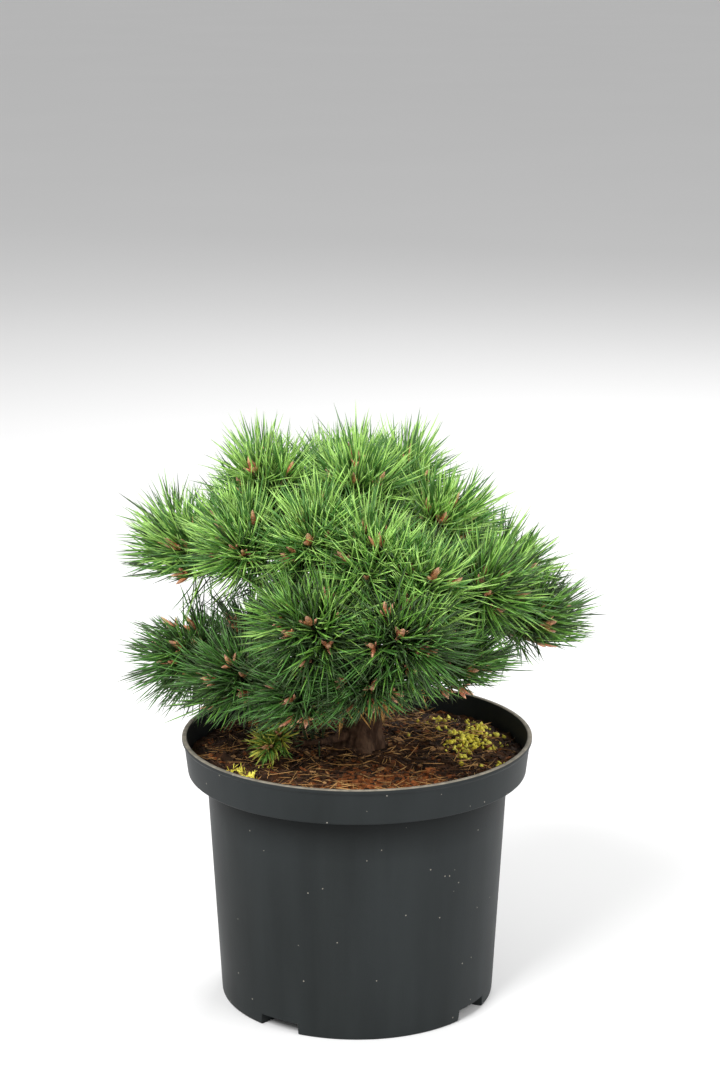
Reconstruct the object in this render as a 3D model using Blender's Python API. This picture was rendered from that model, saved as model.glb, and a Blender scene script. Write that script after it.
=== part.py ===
"""A dwarf Scots pine in its round nursery pot.

Metres, +Z up. The origin is the centre of the pot's flat underside. The front of the
plant is its -Y side, +X is to its right, and compass angles are counted from +X
towards +Y, so 270 degrees is the front and 90 degrees the back.
"""
import math
import random
from collections import namedtuple

import bmesh
import bpy
import numpy as np
from mathutils import Matrix

# Room left between pieces that touch, and the distance at which points are one
GAP = 0.0003
WELD = 0.000002

# The pot: a tapering body, a collar that steps out from it, and a thin lip
POT_SIDES = 44
POT_HEIGHT = 0.1735
WALL = 0.0016
FOOT_RADIUS = 0.0885
FOOT_BEVEL = 0.0015
SHOULDER_RADIUS = 0.0970
COLLAR_HEIGHT = 0.0235
COLLAR_FOOT_RADIUS = 0.1088
COLLAR_TOP_RADIUS = 0.1112
LIP_RADIUS = 0.1125
LIP_HEIGHT = 0.0024
LIP_SLOPE = 0.0011

# Four drains at the foot: a low tunnel under a step in the floor, with a slot in its roof
DRAIN_COUNT = 4
DRAIN_FIRST_ANGLE = -34.0
DRAIN_WIDTH = 0.028
DRAIN_HEIGHT = 0.0075
DRAIN_INNER_RADIUS = 0.058
DRAIN_SLOT_WIDTH = 0.012
DRAIN_SLOT_LENGTH = 0.014

# The soil: a low mound with a level place for the trunk
SOIL_TOP = 0.1635
SOIL_EDGE = 0.1585
SOIL_LEVEL_RADIUS = 0.032
SOIL_RINGS = 4
SOIL_WAVE = 0.0012

# The trunk: height, centre line and radius, from the level soil to its tip
TRUNK_SIDES = 12
TRUNK_RINGS = 17
TRUNK_FOOT = SOIL_TOP + GAP
TRUNK_TIP = 0.3070
TRUNK_FOOT_X = 0.0020
TRUNK_FOOT_Y = 0.0040
TRUNK_TIP_X = 0.0005
TRUNK_TIP_Y = -0.0120
TRUNK_SWAY = 0.0035
TRUNK_FOOT_RADIUS = 0.0120
TRUNK_TIP_RADIUS = 0.0030
FLARE = 0.0055
FLARE_HEIGHT = 0.0090

# Boughs
BOUGH_SIDES = 5
BOUGH_RINGS = 6
BOUGH_TIP_RADIUS = 0.0021
BOUGH_FOOT_RADIUS = 0.0026
BOUGH_THICKENING = 0.0230
BOUGH_SWEEP = 0.42

# Shoots: a leader and its side shoots make one mass of foliage
LEADER_LENGTH = 0.045
LEADER_SAG = 0.05
SIDE_LENGTH = 0.58
SIDE_SPREAD = 0.07
SIDE_FIRST = 0.10
SIDE_SPAN = 0.44
SIDE_LEAN = 50.0
SIDE_LEAN_SPREAD = 7.0
SIDE_BEND = 0.42
UPWARD = 0.30
GOLDEN_ANGLE = 137.5
SHORTER = 0.86
SHORTENINGS = 4

# A spray: a slim three-sided core in bands of triangles, whose faces are drawn into needles
BAND_LENGTH = 0.0056
CORE_ROOT = 0.0008
CORE_STEM = 0.0019
CORE_WIDTH = 0.0024
CORE_TIP = 0.0019
BUD_LENGTH = 0.0070
NEEDLE_LENGTH = 0.0410
NEEDLE_SPREAD = 0.10
NEEDLE_START = 0.30
NEEDLES_IN_BAND = 3
NEEDLE_LEAN_FIRST = 58.0
NEEDLE_LEAN_LAST = 17.0
NEEDLE_LEAN_SPREAD = 1.6
NEEDLE_TURN = 8.0
NEEDLE_SIZES = (1.0, 0.8, 0.62, 0.46)
NEEDLE_WIDTH = 0.0012
NEEDLE_FOOT = 0.12
NEEDLE_PARTED = 0.35

# Room that a needle and a shoot keep to the next mass, to a limb and to the pot
CELL_ROOM = 0.0006
LIMB_ROOM = 0.0008
NEEDLE_ROOM = 0.0010
POT_ROOM = 0.0015

# Open sky between the two tiers on the left: a slab that rises towards the front
SKY_RIGHT = -0.072
SKY_HEIGHT = 0.2630
SKY_HALF = 0.0095
SKY_SLOPE = -0.30
SKY_DEPTH = 0.090

# The crown's lower edge: a bowl, lowest left of the trunk, that rises to the sides and the front
SKIRT_HEIGHT = 0.172
SKIRT_MIDDLE = -0.055
SKIRT_BOW = 1.50
SKIRT_FRONT = 0.32
SKIRT_BACK = 0.15
SKIRT_FREE = "soil_left"

# One mass of foliage: where its bud is (compass angle, distance from the pot's axis and
# height), how steeply its leader rises, where its bough leaves the trunk, its side shoots,
# and its size against the others
Mass = namedtuple("Mass", "name angle reach height rise bough side_shoots size")

MASSES = (
    Mass("top_middle", 272, 0.020, 0.353, 82, None, 5, 1.00),
    Mass("top_left", 186, 0.058, 0.352, 86, 0.279, 4, 0.90),
    Mass("top_right", 34, 0.038, 0.346, 76, 0.287, 4, 0.90),
    Mass("left_upper", 211, 0.093, 0.316, 41, 0.250, 6, 0.90),
    Mass("left_far", 180, 0.122, 0.296, 20, 0.218, 6, 1.00),
    Mass("left_middle", 244, 0.070, 0.328, 62, 0.270, 5, 0.90),
    Mass("right_upper", 345, 0.060, 0.325, 60, 0.262, 6, 0.90),
    Mass("centre", 279, 0.081, 0.317, 52, 0.257, 5, 0.95),
    Mass("centre_left", 255, 0.106, 0.275, 31, 0.213, 6, 1.00),
    Mass("centre_right", 297, 0.099, 0.299, 42, 0.240, 5, 0.95),
    Mass("right_middle", 330, 0.102, 0.290, 39, 0.218, 6, 0.95),
    Mass("right_shoulder", 3, 0.105, 0.286, 34, 0.234, 5, 0.90),
    Mass("right_far", 357, 0.123, 0.255, 17, 0.190, 6, 1.00),
    Mass("front_low", 283, 0.113, 0.270, 27, 0.228, 5, 0.95),
    Mass("front_foot", 275, 0.100, 0.235, 6, 0.196, 5, 0.90),
    Mass("right_foot", 311, 0.102, 0.238, 9, 0.180, 5, 0.92),
    Mass("left_low_far", 184, 0.120, 0.233, 15, 0.184, 6, 0.92),
    Mass("left_low", 213, 0.104, 0.226, 10, 0.196, 5, 0.90),
    Mass("centre_low_left", 246, 0.097, 0.223, 6, 0.182, 5, 0.88),
    Mass("soil_left", 207, 0.068, 0.179, 14, 0.1735, 2, 0.50),
    Mass("back_top", 108, 0.050, 0.338, 71, 0.276, 5, 0.92),
    Mass("back_left_upper", 140, 0.096, 0.306, 43, 0.250, 6, 0.98),
    Mass("back_right_upper", 42, 0.092, 0.285, 37, 0.246, 6, 0.95),
    Mass("back_centre", 92, 0.112, 0.280, 30, 0.215, 6, 1.00),
    Mass("back_left_low", 136, 0.116, 0.214, 8, 0.182, 6, 0.95),
    Mass("back_right_low", 38, 0.116, 0.236, 14, 0.181, 6, 0.98),
)

Shoot = namedtuple("Shoot", "start bend end root_radius")
Needle = namedtuple("Needle", "face root apex")


# Vectors and curves

def unit(vector):
    """The vector scaled to length one."""
    return vector / np.linalg.norm(vector)


def compass(angle, rise):
    """The unit vector at a compass angle and a rise above the level, in degrees."""
    turn = math.radians(angle)
    tilt = math.radians(rise)
    return np.array((math.cos(turn) * math.cos(tilt), math.sin(turn) * math.cos(tilt), math.sin(tilt)))


def curve_point(start, bend, end, t):
    """A point of the curve that leaves start and reaches end in line with bend."""
    return start * (1 - t) ** 2 + bend * 2 * t * (1 - t) + end * t ** 2


def curve_heading(start, bend, end, t):
    """The direction of that curve."""
    return unit((bend - start) * (1 - t) + (end - bend) * t)


def cross_axes(heading):
    """Two unit vectors at right angles to a heading and to each other."""
    helper = np.array((0.0, 0.0, 1.0)) if abs(heading[2]) < 0.9 else np.array((0.0, 1.0, 0.0))
    side = unit(np.cross(helper, heading))
    return side, np.cross(heading, side)


def carried_axes(headings):
    """Cross axes at each of a row of headings, carried along so that they never flip."""
    across = cross_axes(headings[0])[0]
    pairs = []
    for heading in headings:
        across = unit(across - heading * (across @ heading))
        pairs.append((across, np.cross(heading, across)))
    return pairs


def segment_distances(a, b, starts, ends):
    """Distance from the segment a-b to each segment of two arrays of ends."""
    along = b - a
    lines = ends - starts
    offset = a - starts
    aa = along @ along
    ee = np.einsum("ij,ij->i", lines, lines)
    ff = np.einsum("ij,ij->i", lines, offset)
    cc = offset @ along
    bb = lines @ along
    below = aa * ee - bb * bb
    s = np.clip(np.where(below > 1e-14, (bb * ff - cc * ee) / np.maximum(below, 1e-14), 0.0), 0.0, 1.0)
    t = np.clip((bb * s + ff) / ee, 0.0, 1.0)
    s = np.clip((bb * t - cc) / aa, 0.0, 1.0)
    apart = offset + s[:, None] * along - t[:, None] * lines
    return np.sqrt(np.einsum("ij,ij->i", apart, apart))


# The plant's plan: trunk, boughs, and the space of each mass

def trunk_centre(height):
    """The trunk's centre at a height: a lean to the front with a slight sway."""
    t = (height - TRUNK_FOOT) / (TRUNK_TIP - TRUNK_FOOT)
    sway = TRUNK_SWAY * math.sin(math.pi * 2 * t)
    x = TRUNK_FOOT_X + (TRUNK_TIP_X - TRUNK_FOOT_X) * t + sway
    y = TRUNK_FOOT_Y + (TRUNK_TIP_Y - TRUNK_FOOT_Y) * t * t
    return np.array((x, y, height))


def trunk_radius(height):
    """The trunk's radius at a height, with its root flare at the soil."""
    t = (height - TRUNK_FOOT) / (TRUNK_TIP - TRUNK_FOOT)
    flare = FLARE * math.exp(-(height - TRUNK_FOOT) / FLARE_HEIGHT)
    return TRUNK_FOOT_RADIUS + (TRUNK_TIP_RADIUS - TRUNK_FOOT_RADIUS) * t + flare


def bud_of(mass):
    """Where a mass's leader ends."""
    angle = math.radians(mass.angle)
    return np.array((mass.reach * math.cos(angle), mass.reach * math.sin(angle), mass.height))


def root_of(mass):
    """Where a mass's leader begins."""
    if mass.bough is None:
        return trunk_centre(TRUNK_TIP) + np.array((0.0, 0.0, GAP))
    return bud_of(mass) - compass(mass.angle, mass.rise) * LEADER_LENGTH * mass.size


def heart_of(mass):
    """The point that a mass's own space is centred on."""
    return root_of(mass) * 0.4 + bud_of(mass) * 0.6


def bough_curve(mass):
    """Start, bend and end of a mass's bough, from the trunk's centre line to its leader."""
    start = trunk_centre(mass.bough)
    heading = compass(mass.angle, mass.rise)
    end = root_of(mass) - heading * GAP
    bend = end - heading * np.linalg.norm(end - start) * BOUGH_SWEEP
    return start, bend, end


def bough_radius(mass, t):
    """A bough's radius, from its foot in the trunk (0) to its tip (1)."""
    start, _, end = bough_curve(mass)
    foot = BOUGH_FOOT_RADIUS + BOUGH_THICKENING * np.linalg.norm(end - start) * mass.size
    foot = min(foot, trunk_radius(mass.bough) * 0.72)
    return foot + (BOUGH_TIP_RADIUS * math.sqrt(mass.size) - foot) * t ** 0.8


def limb_segments():
    """Every limb as short straight stretches: their starts, ends and radii."""
    starts, ends, radii = [], [], []
    heights = np.linspace(TRUNK_FOOT, TRUNK_TIP, TRUNK_RINGS)
    for low, high in zip(heights[:-1], heights[1:]):
        starts.append(trunk_centre(low))
        ends.append(trunk_centre(high))
        radii.append(trunk_radius(low))
    for mass in MASSES:
        if mass.bough is None:
            continue
        curve = bough_curve(mass)
        steps = np.linspace(0.0, 1.0, BOUGH_RINGS)
        for low, high in zip(steps[:-1], steps[1:]):
            starts.append(curve_point(*curve, low))
            ends.append(curve_point(*curve, high))
            radii.append(bough_radius(mass, low))
    return np.array(starts), np.array(ends), np.array(radii)


def soil_height(x, y):
    """The soil's surface: level at the trunk, then falling to the wall in slow waves."""
    radius = math.hypot(x, y)
    edge = COLLAR_TOP_RADIUS - WALL
    fall = max(0.0, (radius - SOIL_LEVEL_RADIUS) / (edge - SOIL_LEVEL_RADIUS))
    angle = math.atan2(y, x)
    wave = math.sin(3 * angle + 0.7) + 0.6 * math.sin(5 * angle + radius * 60)
    return SOIL_TOP - (SOIL_TOP - SOIL_EDGE) * fall ** 1.5 + SOIL_WAVE * wave * math.sin(math.pi * min(fall, 1.0))


class Surroundings:
    """What a mass's shoots and needles have to stay clear of."""

    def __init__(self):
        self.hearts = np.array([heart_of(mass) for mass in MASSES])
        self.sizes = np.array([mass.size for mass in MASSES])
        self.limbs = limb_segments()

    def in_space(self, index, point, room):
        """Whether a point is in the mass's own space: nearer to its heart than to the others."""
        here = self.hearts[index]
        apart = np.delete(self.hearts, index, axis=0) - here
        span = np.linalg.norm(apart, axis=1)
        share = self.sizes[index] / (self.sizes[index] + np.delete(self.sizes, index))
        reach = apart @ (point - here) / span
        return bool(np.all(reach < span * share - room - CELL_ROOM))

    def clear_of_limbs(self, start, end, room):
        """Whether a straight stretch clears every limb."""
        return bool(np.all(segment_distances(start, end, *self.limbs[:2]) > self.limbs[2] + room + LIMB_ROOM))

    def clear_of_pot(self, point, room):
        """Whether a point clears the pot's rim and wall and the soil."""
        radius = math.hypot(point[0], point[1])
        room = room + POT_ROOM
        if radius > LIP_RADIUS + room or point[2] > POT_HEIGHT + room:
            return True
        if radius > COLLAR_FOOT_RADIUS - WALL - room:
            return False
        return point[2] > soil_height(point[0], point[1]) + room

    def free_sky(self, point, room):
        """Whether a point stays out of the open sky between the left tiers."""
        if point[0] > SKY_RIGHT or abs(point[1]) > SKY_DEPTH:
            return True
        return abs(point[2] - SKY_HEIGHT - SKY_SLOPE * point[1]) > SKY_HALF + room

    def above_skirt(self, index, point):
        """Whether a point stays above the crown's lower edge; the shoot by the soil is free of it."""
        if MASSES[index].name == SKIRT_FREE:
            return True
        skirt = SKIRT_HEIGHT + SKIRT_BOW * (point[0] - SKIRT_MIDDLE) ** 2
        return point[2] > skirt + (-SKIRT_FRONT if point[1] < 0 else SKIRT_BACK) * point[1]

    def allows(self, index, start, end, start_room, end_room):
        """Whether a tapering stretch may stand where it is."""
        for t in (0.25, 0.5, 0.75, 1.0):
            point = start + (end - start) * t
            room = start_room + (end_room - start_room) * t
            if not self.in_space(index, point, room):
                return False
            if not self.clear_of_pot(point, room) or not self.free_sky(point, room):
                return False
            if not self.above_skirt(index, point):
                return False
        return True


def leader_of(mass):
    """A mass's leader: it sags a little between its root and its bud."""
    start = root_of(mass)
    end = bud_of(mass)
    bend = (start + end) / 2 - np.array((0.0, 0.0, LEADER_SAG * LEADER_LENGTH * mass.size))
    return Shoot(start, bend, end, CORE_STEM)


def side_shoot(mass, leader, number, rng):
    """One side shoot: it leaves the leader at a golden-angle step and bends up."""
    t = SIDE_FIRST + SIDE_SPAN * number / max(1, mass.side_shoots - 1)
    start = curve_point(*leader[:3], t)
    heading = curve_heading(*leader[:3], t)
    across, over = cross_axes(heading)
    turn = math.radians(GOLDEN_ANGLE * number + mass.angle + rng.uniform(-15, 15))
    lean = math.radians(SIDE_LEAN + rng.uniform(-SIDE_LEAN_SPREAD, SIDE_LEAN_SPREAD))
    away = heading * math.cos(lean) + (across * math.cos(turn) + over * math.sin(turn)) * math.sin(lean)
    length = LEADER_LENGTH * mass.size * (SIDE_LENGTH + rng.uniform(-SIDE_SPREAD, SIDE_SPREAD))
    later = unit(away + heading * SIDE_BEND + np.array((0.0, 0.0, UPWARD)))
    bend = start + away * length * 0.5
    return Shoot(start, bend, bend + later * length * 0.5, CORE_ROOT)


def shortened(shoot, share):
    """The same shoot at a share of its length."""
    bend = shoot.start + (shoot.bend - shoot.start) * share
    end = shoot.start + (shoot.end - shoot.start) * share
    return Shoot(shoot.start, bend, end, shoot.root_radius)


def shoots_of(index, around):
    """The leader and the side shoots of a mass that find room in its space."""
    mass = MASSES[index]
    rng = random.Random(1000 + index)
    leader = leader_of(mass)
    shoots = [leader]
    for number in range(mass.side_shoots):
        wanted = side_shoot(mass, leader, number, rng)
        for cut in range(SHORTENINGS):
            shoot = shortened(wanted, SHORTER ** cut)
            middle = curve_point(*shoot[:3], 0.4)
            beyond = shoot.end + unit(shoot.end - shoot.bend) * BUD_LENGTH
            if not around.allows(index, middle, beyond, CORE_WIDTH, CORE_WIDTH):
                continue
            if around.clear_of_limbs(middle, beyond, CORE_WIDTH):
                shoots.append(shoot)
                break
    return shoots


# Meshes

def add_object(name, mesh, material, collection=None):
    """Wrap a mesh in a named object with its material."""
    mesh.name = name
    mesh.materials.clear()
    mesh.materials.append(material)
    made = bpy.data.objects.new(name, mesh)
    (collection or bpy.context.scene.collection).objects.link(made)
    return made


def to_mesh(bm):
    """A mesh from a bmesh, its faces pointing out."""
    bmesh.ops.recalc_face_normals(bm, faces=bm.faces)
    mesh = bpy.data.meshes.new("shape")
    bm.to_mesh(mesh)
    bm.free()
    return mesh


def smooth(made, angle=40.0):
    """Round pieces are shaded smooth up to an angle."""
    made.data.shade_smooth()
    made.data.set_sharp_from_angle(angle=math.radians(angle))


def turned(profile, sides):
    """A profile of radius and height points spun once round the Z axis."""
    bm = bmesh.new()
    points = [bm.verts.new((radius, 0.0, height)) for radius, height in profile]
    edges = [bm.edges.new(pair) for pair in zip(points[:-1], points[1:])]
    bmesh.ops.spin(bm, geom=points + edges, axis=(0, 0, 1), cent=(0, 0, 0), angle=math.tau,
                   steps=sides, use_merge=True)
    bmesh.ops.remove_doubles(bm, verts=bm.verts, dist=WELD)
    return bm


def loft(centres, headings, radii, sides):
    """A closed limb through rings of a given heading and radius round a line of centres."""
    bm = bmesh.new()
    rings = []
    for centre, radius, (across, over) in zip(centres, radii, carried_axes(headings)):
        turns = [math.tau * side / sides for side in range(sides)]
        ring = [centre + (across * math.cos(turn) + over * math.sin(turn)) * radius for turn in turns]
        rings.append([bm.verts.new(point) for point in ring])
    for low, high in zip(rings[:-1], rings[1:]):
        for side in range(sides):
            after = (side + 1) % sides
            bm.faces.new((low[side], low[after], high[after], high[side]))
    bm.faces.new(rings[0])
    bm.faces.new(rings[-1])
    return bm


def block(size, centre, angle):
    """A box of a given size whose first side points out from the axis at a compass angle."""
    bm = bmesh.new()
    place = Matrix.Rotation(math.radians(angle), 4, "Z") @ Matrix.Translation(centre)
    bmesh.ops.create_cube(bm, size=1.0, matrix=place @ Matrix.Diagonal((*size, 1.0)))
    return bm


def closed(mesh):
    """Whether every edge of a mesh lies between two faces."""
    bm = bmesh.new()
    bm.from_mesh(mesh)
    whole = all(len(edge.link_faces) == 2 for edge in bm.edges)
    bm.free()
    return whole


def combined(made, operation, others):
    """Join other meshes to an object, or cut them from it, in one Boolean, and apply it.

    The exact solver comes first, and the manifold one where its result isn't closed.
    """
    helpers = bpy.data.collections.new("helpers")
    bpy.context.scene.collection.children.link(helpers)
    for mesh in others:
        helper = bpy.data.objects.new("helper", mesh)
        helper.hide_render = True
        helper.display_type = "WIRE"
        helpers.objects.link(helper)
    modifier = made.modifiers.new("joined", "BOOLEAN")
    modifier.operation = operation
    modifier.operand_type = "COLLECTION"
    modifier.collection = helpers
    for solver in ("EXACT", "MANIFOLD"):
        modifier.solver = solver
        result = bpy.data.meshes.new_from_object(made.evaluated_get(bpy.context.evaluated_depsgraph_get()))
        if closed(result):
            break
    made.modifiers.clear()
    old = made.data
    made.data = result
    bpy.data.meshes.remove(old)
    result.name = made.name
    for helper in list(helpers.objects):
        mesh = helper.data
        bpy.data.objects.remove(helper)
        bpy.data.meshes.remove(mesh)
    bpy.data.collections.remove(helpers)


def drop_scraps(made):
    """Keep only the largest connected piece of an object's mesh."""
    bm = bmesh.new()
    bm.from_mesh(made.data)
    bmesh.ops.dissolve_degenerate(bm, edges=bm.edges, dist=WELD)
    unseen = set(bm.verts)
    pieces = []
    while unseen:
        waiting = [unseen.pop()]
        piece = []
        while waiting:
            vert = waiting.pop()
            piece.append(vert)
            for edge in vert.link_edges:
                other = edge.other_vert(vert)
                if other in unseen:
                    unseen.remove(other)
                    waiting.append(other)
        pieces.append(piece)
    pieces.sort(key=len)
    for piece in pieces[:-1]:
        bmesh.ops.delete(bm, geom=piece, context="VERTS")
    bm.to_mesh(made.data)
    bm.free()


# Materials

def finish(name, colour, roughness, metallic=0.0):
    """A material with a plain colour."""
    material = bpy.data.materials.new(name)
    material.use_nodes = True
    shader = material.node_tree.nodes["Principled BSDF"]
    shader.inputs["Base Color"].default_value = (*colour, 1.0)
    shader.inputs["Roughness"].default_value = roughness
    shader.inputs["Metallic"].default_value = metallic
    material.diffuse_color = (*colour, 1.0)
    return material


# The pot and its soil

def pot_profile():
    """The pot's cross-section, from the middle of its underside round to the middle of its floor."""
    shoulder = POT_HEIGHT - COLLAR_HEIGHT
    lip = POT_HEIGHT - LIP_HEIGHT
    return [
        (0.0, 0.0),
        (FOOT_RADIUS - FOOT_BEVEL, 0.0),
        (FOOT_RADIUS, FOOT_BEVEL),
        (SHOULDER_RADIUS, shoulder),
        (COLLAR_FOOT_RADIUS, shoulder),
        (COLLAR_TOP_RADIUS, lip - LIP_SLOPE),
        (LIP_RADIUS, lip),
        (LIP_RADIUS, POT_HEIGHT),
        (COLLAR_TOP_RADIUS - WALL, POT_HEIGHT),
        (COLLAR_FOOT_RADIUS - WALL, shoulder + WALL),
        (SHOULDER_RADIUS - WALL, shoulder + WALL),
        (FOOT_RADIUS - WALL, WALL),
        (0.0, WALL),
    ]


def drain_angles():
    """The compass angles of the drains, counted from the front."""
    return [270.0 + DRAIN_FIRST_ANGLE + 360.0 * number / DRAIN_COUNT for number in range(DRAIN_COUNT)]


def drain_step(angle, extra):
    """The step in the floor over one drain, made larger by extra for the hole it needs in the soil."""
    length = FOOT_RADIUS - DRAIN_INNER_RADIUS
    size = (length + WALL + extra, DRAIN_WIDTH + 2 * WALL + 2 * extra, DRAIN_HEIGHT + WALL + extra)
    middle = DRAIN_INNER_RADIUS - WALL - extra + size[0] / 2
    return block(size, (middle - WALL / 2, 0.0, size[2] / 2), angle)


def make_pot(material):
    """The pot, with its drains."""
    made = add_object("pot", to_mesh(turned(pot_profile(), POT_SIDES)), material)
    combined(made, "UNION", [to_mesh(drain_step(angle, 0.0)) for angle in drain_angles()])
    cutters = []
    for angle in drain_angles():
        length = FOOT_RADIUS - DRAIN_INNER_RADIUS + 2 * WALL
        tunnel = block((length, DRAIN_WIDTH, DRAIN_HEIGHT * 2), (DRAIN_INNER_RADIUS + length / 2, 0.0, 0.0), angle)
        middle = DRAIN_INNER_RADIUS + DRAIN_SLOT_LENGTH
        slot = block((DRAIN_SLOT_LENGTH, DRAIN_SLOT_WIDTH, DRAIN_HEIGHT * 2), (middle, 0.0, DRAIN_HEIGHT), angle)
        cutters += [to_mesh(tunnel), to_mesh(slot)]
    combined(made, "DIFFERENCE", cutters)
    smooth(made)


def make_soil(material):
    """The soil: it fills the pot 0.3 mm clear of it, up to a low uneven mound."""
    shoulder = POT_HEIGHT - COLLAR_HEIGHT + WALL + GAP
    slope = (COLLAR_TOP_RADIUS - COLLAR_FOOT_RADIUS) / (COLLAR_HEIGHT - WALL)
    edge = COLLAR_FOOT_RADIUS - WALL - GAP
    top = edge + slope * (SOIL_EDGE - shoulder)
    profile = [(0.0, SOIL_TOP), (SOIL_LEVEL_RADIUS, SOIL_TOP)]
    for ring in range(1, SOIL_RINGS + 1):
        radius = SOIL_LEVEL_RADIUS + (top - SOIL_LEVEL_RADIUS) * ring / SOIL_RINGS
        profile.append((radius, SOIL_TOP))
    profile += [
        (edge, shoulder),
        (SHOULDER_RADIUS - WALL - GAP, shoulder),
        (FOOT_RADIUS - WALL - GAP, WALL + GAP),
        (0.0, WALL + GAP),
    ]
    bm = turned(profile, POT_SIDES)
    for vert in bm.verts:
        if vert.co.z == np.float32(SOIL_TOP) and vert.co.to_2d().length > SOIL_LEVEL_RADIUS + GAP:
            vert.co.z = soil_height(vert.co.x, vert.co.y)
    made = add_object("soil", to_mesh(bm), material)
    combined(made, "DIFFERENCE", [to_mesh(drain_step(angle, GAP)) for angle in drain_angles()])
    smooth(made)


# The wood

def trunk_shape(extra):
    """The trunk, made thicker all round by extra."""
    heights = [TRUNK_FOOT + (TRUNK_TIP - TRUNK_FOOT) * (ring / (TRUNK_RINGS - 1)) ** 1.25
               for ring in range(TRUNK_RINGS)]
    centres = [trunk_centre(height) for height in heights]
    headings = [unit(trunk_centre(height + GAP) - trunk_centre(height - GAP)) for height in heights]
    bm = loft(centres, headings, [trunk_radius(height) + extra for height in heights], TRUNK_SIDES)
    for vert in bm.verts:
        if vert.co.z < TRUNK_FOOT + (heights[1] - TRUNK_FOOT) / 2:
            vert.co.z = TRUNK_FOOT
    return bm


def make_trunk(material):
    """The trunk: one tapering limb from its flat foot on the soil up into the crown."""
    smooth(add_object("trunk", to_mesh(trunk_shape(0.0)), material))


def make_bough(mass, material):
    """A bough: it leaves the trunk in a saddle that follows it and tapers to its leader."""
    steps = np.linspace(0.0, 1.0, BOUGH_RINGS)
    curve = bough_curve(mass)
    centres = [curve_point(*curve, t) for t in steps]
    headings = [curve_heading(*curve, t) for t in steps]
    bm = loft(centres, headings, [bough_radius(mass, t) for t in steps], BOUGH_SIDES)
    made = add_object("bough_" + mass.name, to_mesh(bm), material)
    combined(made, "DIFFERENCE", [to_mesh(trunk_shape(GAP))])
    smooth(made)


# The foliage

def core_rings(shoot, size):
    """Centres, headings and radii of a spray's rings, from its root to the foot of its bud."""
    length = np.linalg.norm(shoot.bend - shoot.start) + np.linalg.norm(shoot.end - shoot.bend)
    bands = max(3, round(length / BAND_LENGTH / size ** 0.5))
    rings = []
    for number in range(bands + 1):
        t = number / bands
        if number == 0:
            radius = shoot.root_radius
        elif t < NEEDLE_START:
            radius = CORE_STEM
        elif number == bands:
            radius = CORE_TIP
        else:
            radius = CORE_WIDTH
        rings.append((curve_point(*shoot[:3], t), curve_heading(*shoot[:3], t), radius * size ** 0.5))
    return rings


def wanted_needles(points, rings, size, rng):
    """The needles that a spray's faces could be drawn into: face, root and apex."""
    bands = len(rings) - 1
    needles = []
    for band in range(bands):
        t = (band + 0.5) / bands
        if t < NEEDLE_START:
            continue
        centre = (rings[band][0] + rings[band + 1][0]) / 2
        heading = unit(rings[band + 1][0] - rings[band][0])
        share = (t - NEEDLE_START) / (1 - NEEDLE_START)
        first = rng.randrange(6)
        for step in range(NEEDLES_IN_BAND):
            face = band * 6 + (first + 2 * step) % 6
            root = sum(points[corner] for corner in core_face(face)) / 3
            lean = NEEDLE_LEAN_FIRST + (NEEDLE_LEAN_LAST - NEEDLE_LEAN_FIRST) * share
            lean = math.radians(lean + rng.uniform(-NEEDLE_LEAN_SPREAD, NEEDLE_LEAN_SPREAD))
            turn = math.radians(rng.uniform(-NEEDLE_TURN, NEEDLE_TURN))
            length = NEEDLE_LENGTH * size * (1 + rng.uniform(-NEEDLE_SPREAD, NEEDLE_SPREAD))
            out = unit(root - centre - heading * ((root - centre) @ heading))
            out = out * math.cos(turn) + np.cross(heading, out) * math.sin(turn)
            needles.append(Needle(face, root, root + (heading * math.cos(lean) + out * math.sin(lean)) * length))
    return needles


def core_face(face):
    """The three corners of a core's face: bands of six, three standing on a ring and three hanging."""
    band, place = divmod(face, 6)
    low = band * 3
    high = low + 3
    side = place // 2
    after = (side + 1) % 3
    if place % 2 == 0:
        return low + side, low + after, high + side
    return high + side, low + after, high + after


def core_points(rings):
    """The corners of a spray's rings, each ring turned half a side against the last."""
    points = []
    axes = carried_axes([heading for _, heading, _ in rings])
    for number, ((centre, _, radius), (across, over)) in enumerate(zip(rings, axes)):
        for side in range(3):
            turn = math.tau * side / 3 + math.pi / 3 * number
            points.append(centre + (across * math.cos(turn) + over * math.sin(turn)) * radius)
    return points


def spray_mesh(points, rings, needles, bud):
    """A spray: the core, a pointed bud at its end, and a needle on each chosen face."""
    bm = bmesh.new()
    verts = [bm.verts.new(point) for point in points]
    chosen = {needle.face: needle for needle in needles}
    for face in range((len(rings) - 1) * 6):
        corners = [verts[corner] for corner in core_face(face)]
        if face in chosen:
            apex = bm.verts.new(chosen[face].apex)
            for side in range(3):
                bm.faces.new((corners[side], corners[(side + 1) % 3], apex))
        else:
            bm.faces.new(corners)
    bm.faces.new(verts[:3])
    tip = bm.verts.new(bud)
    for side in range(3):
        bm.faces.new((verts[-3 + side], verts[-3 + (side + 1) % 3], tip))
    return to_mesh(bm)


def needle_stretches(needles, first):
    """Starts, ends and radii of needles, each from a share of its length to its apex."""
    starts = [needle.root + (needle.apex - needle.root) * first for needle in needles]
    return starts, [needle.apex for needle in needles], [NEEDLE_WIDTH * (1 - first)] * len(needles)


def clears(start, end, room, stretches):
    """Whether a straight stretch clears every one of some others."""
    starts, ends, radii = stretches
    if not starts:
        return True
    return bool(np.all(segment_distances(start, end, np.array(starts), np.array(ends)) > np.array(radii) + room))


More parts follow.
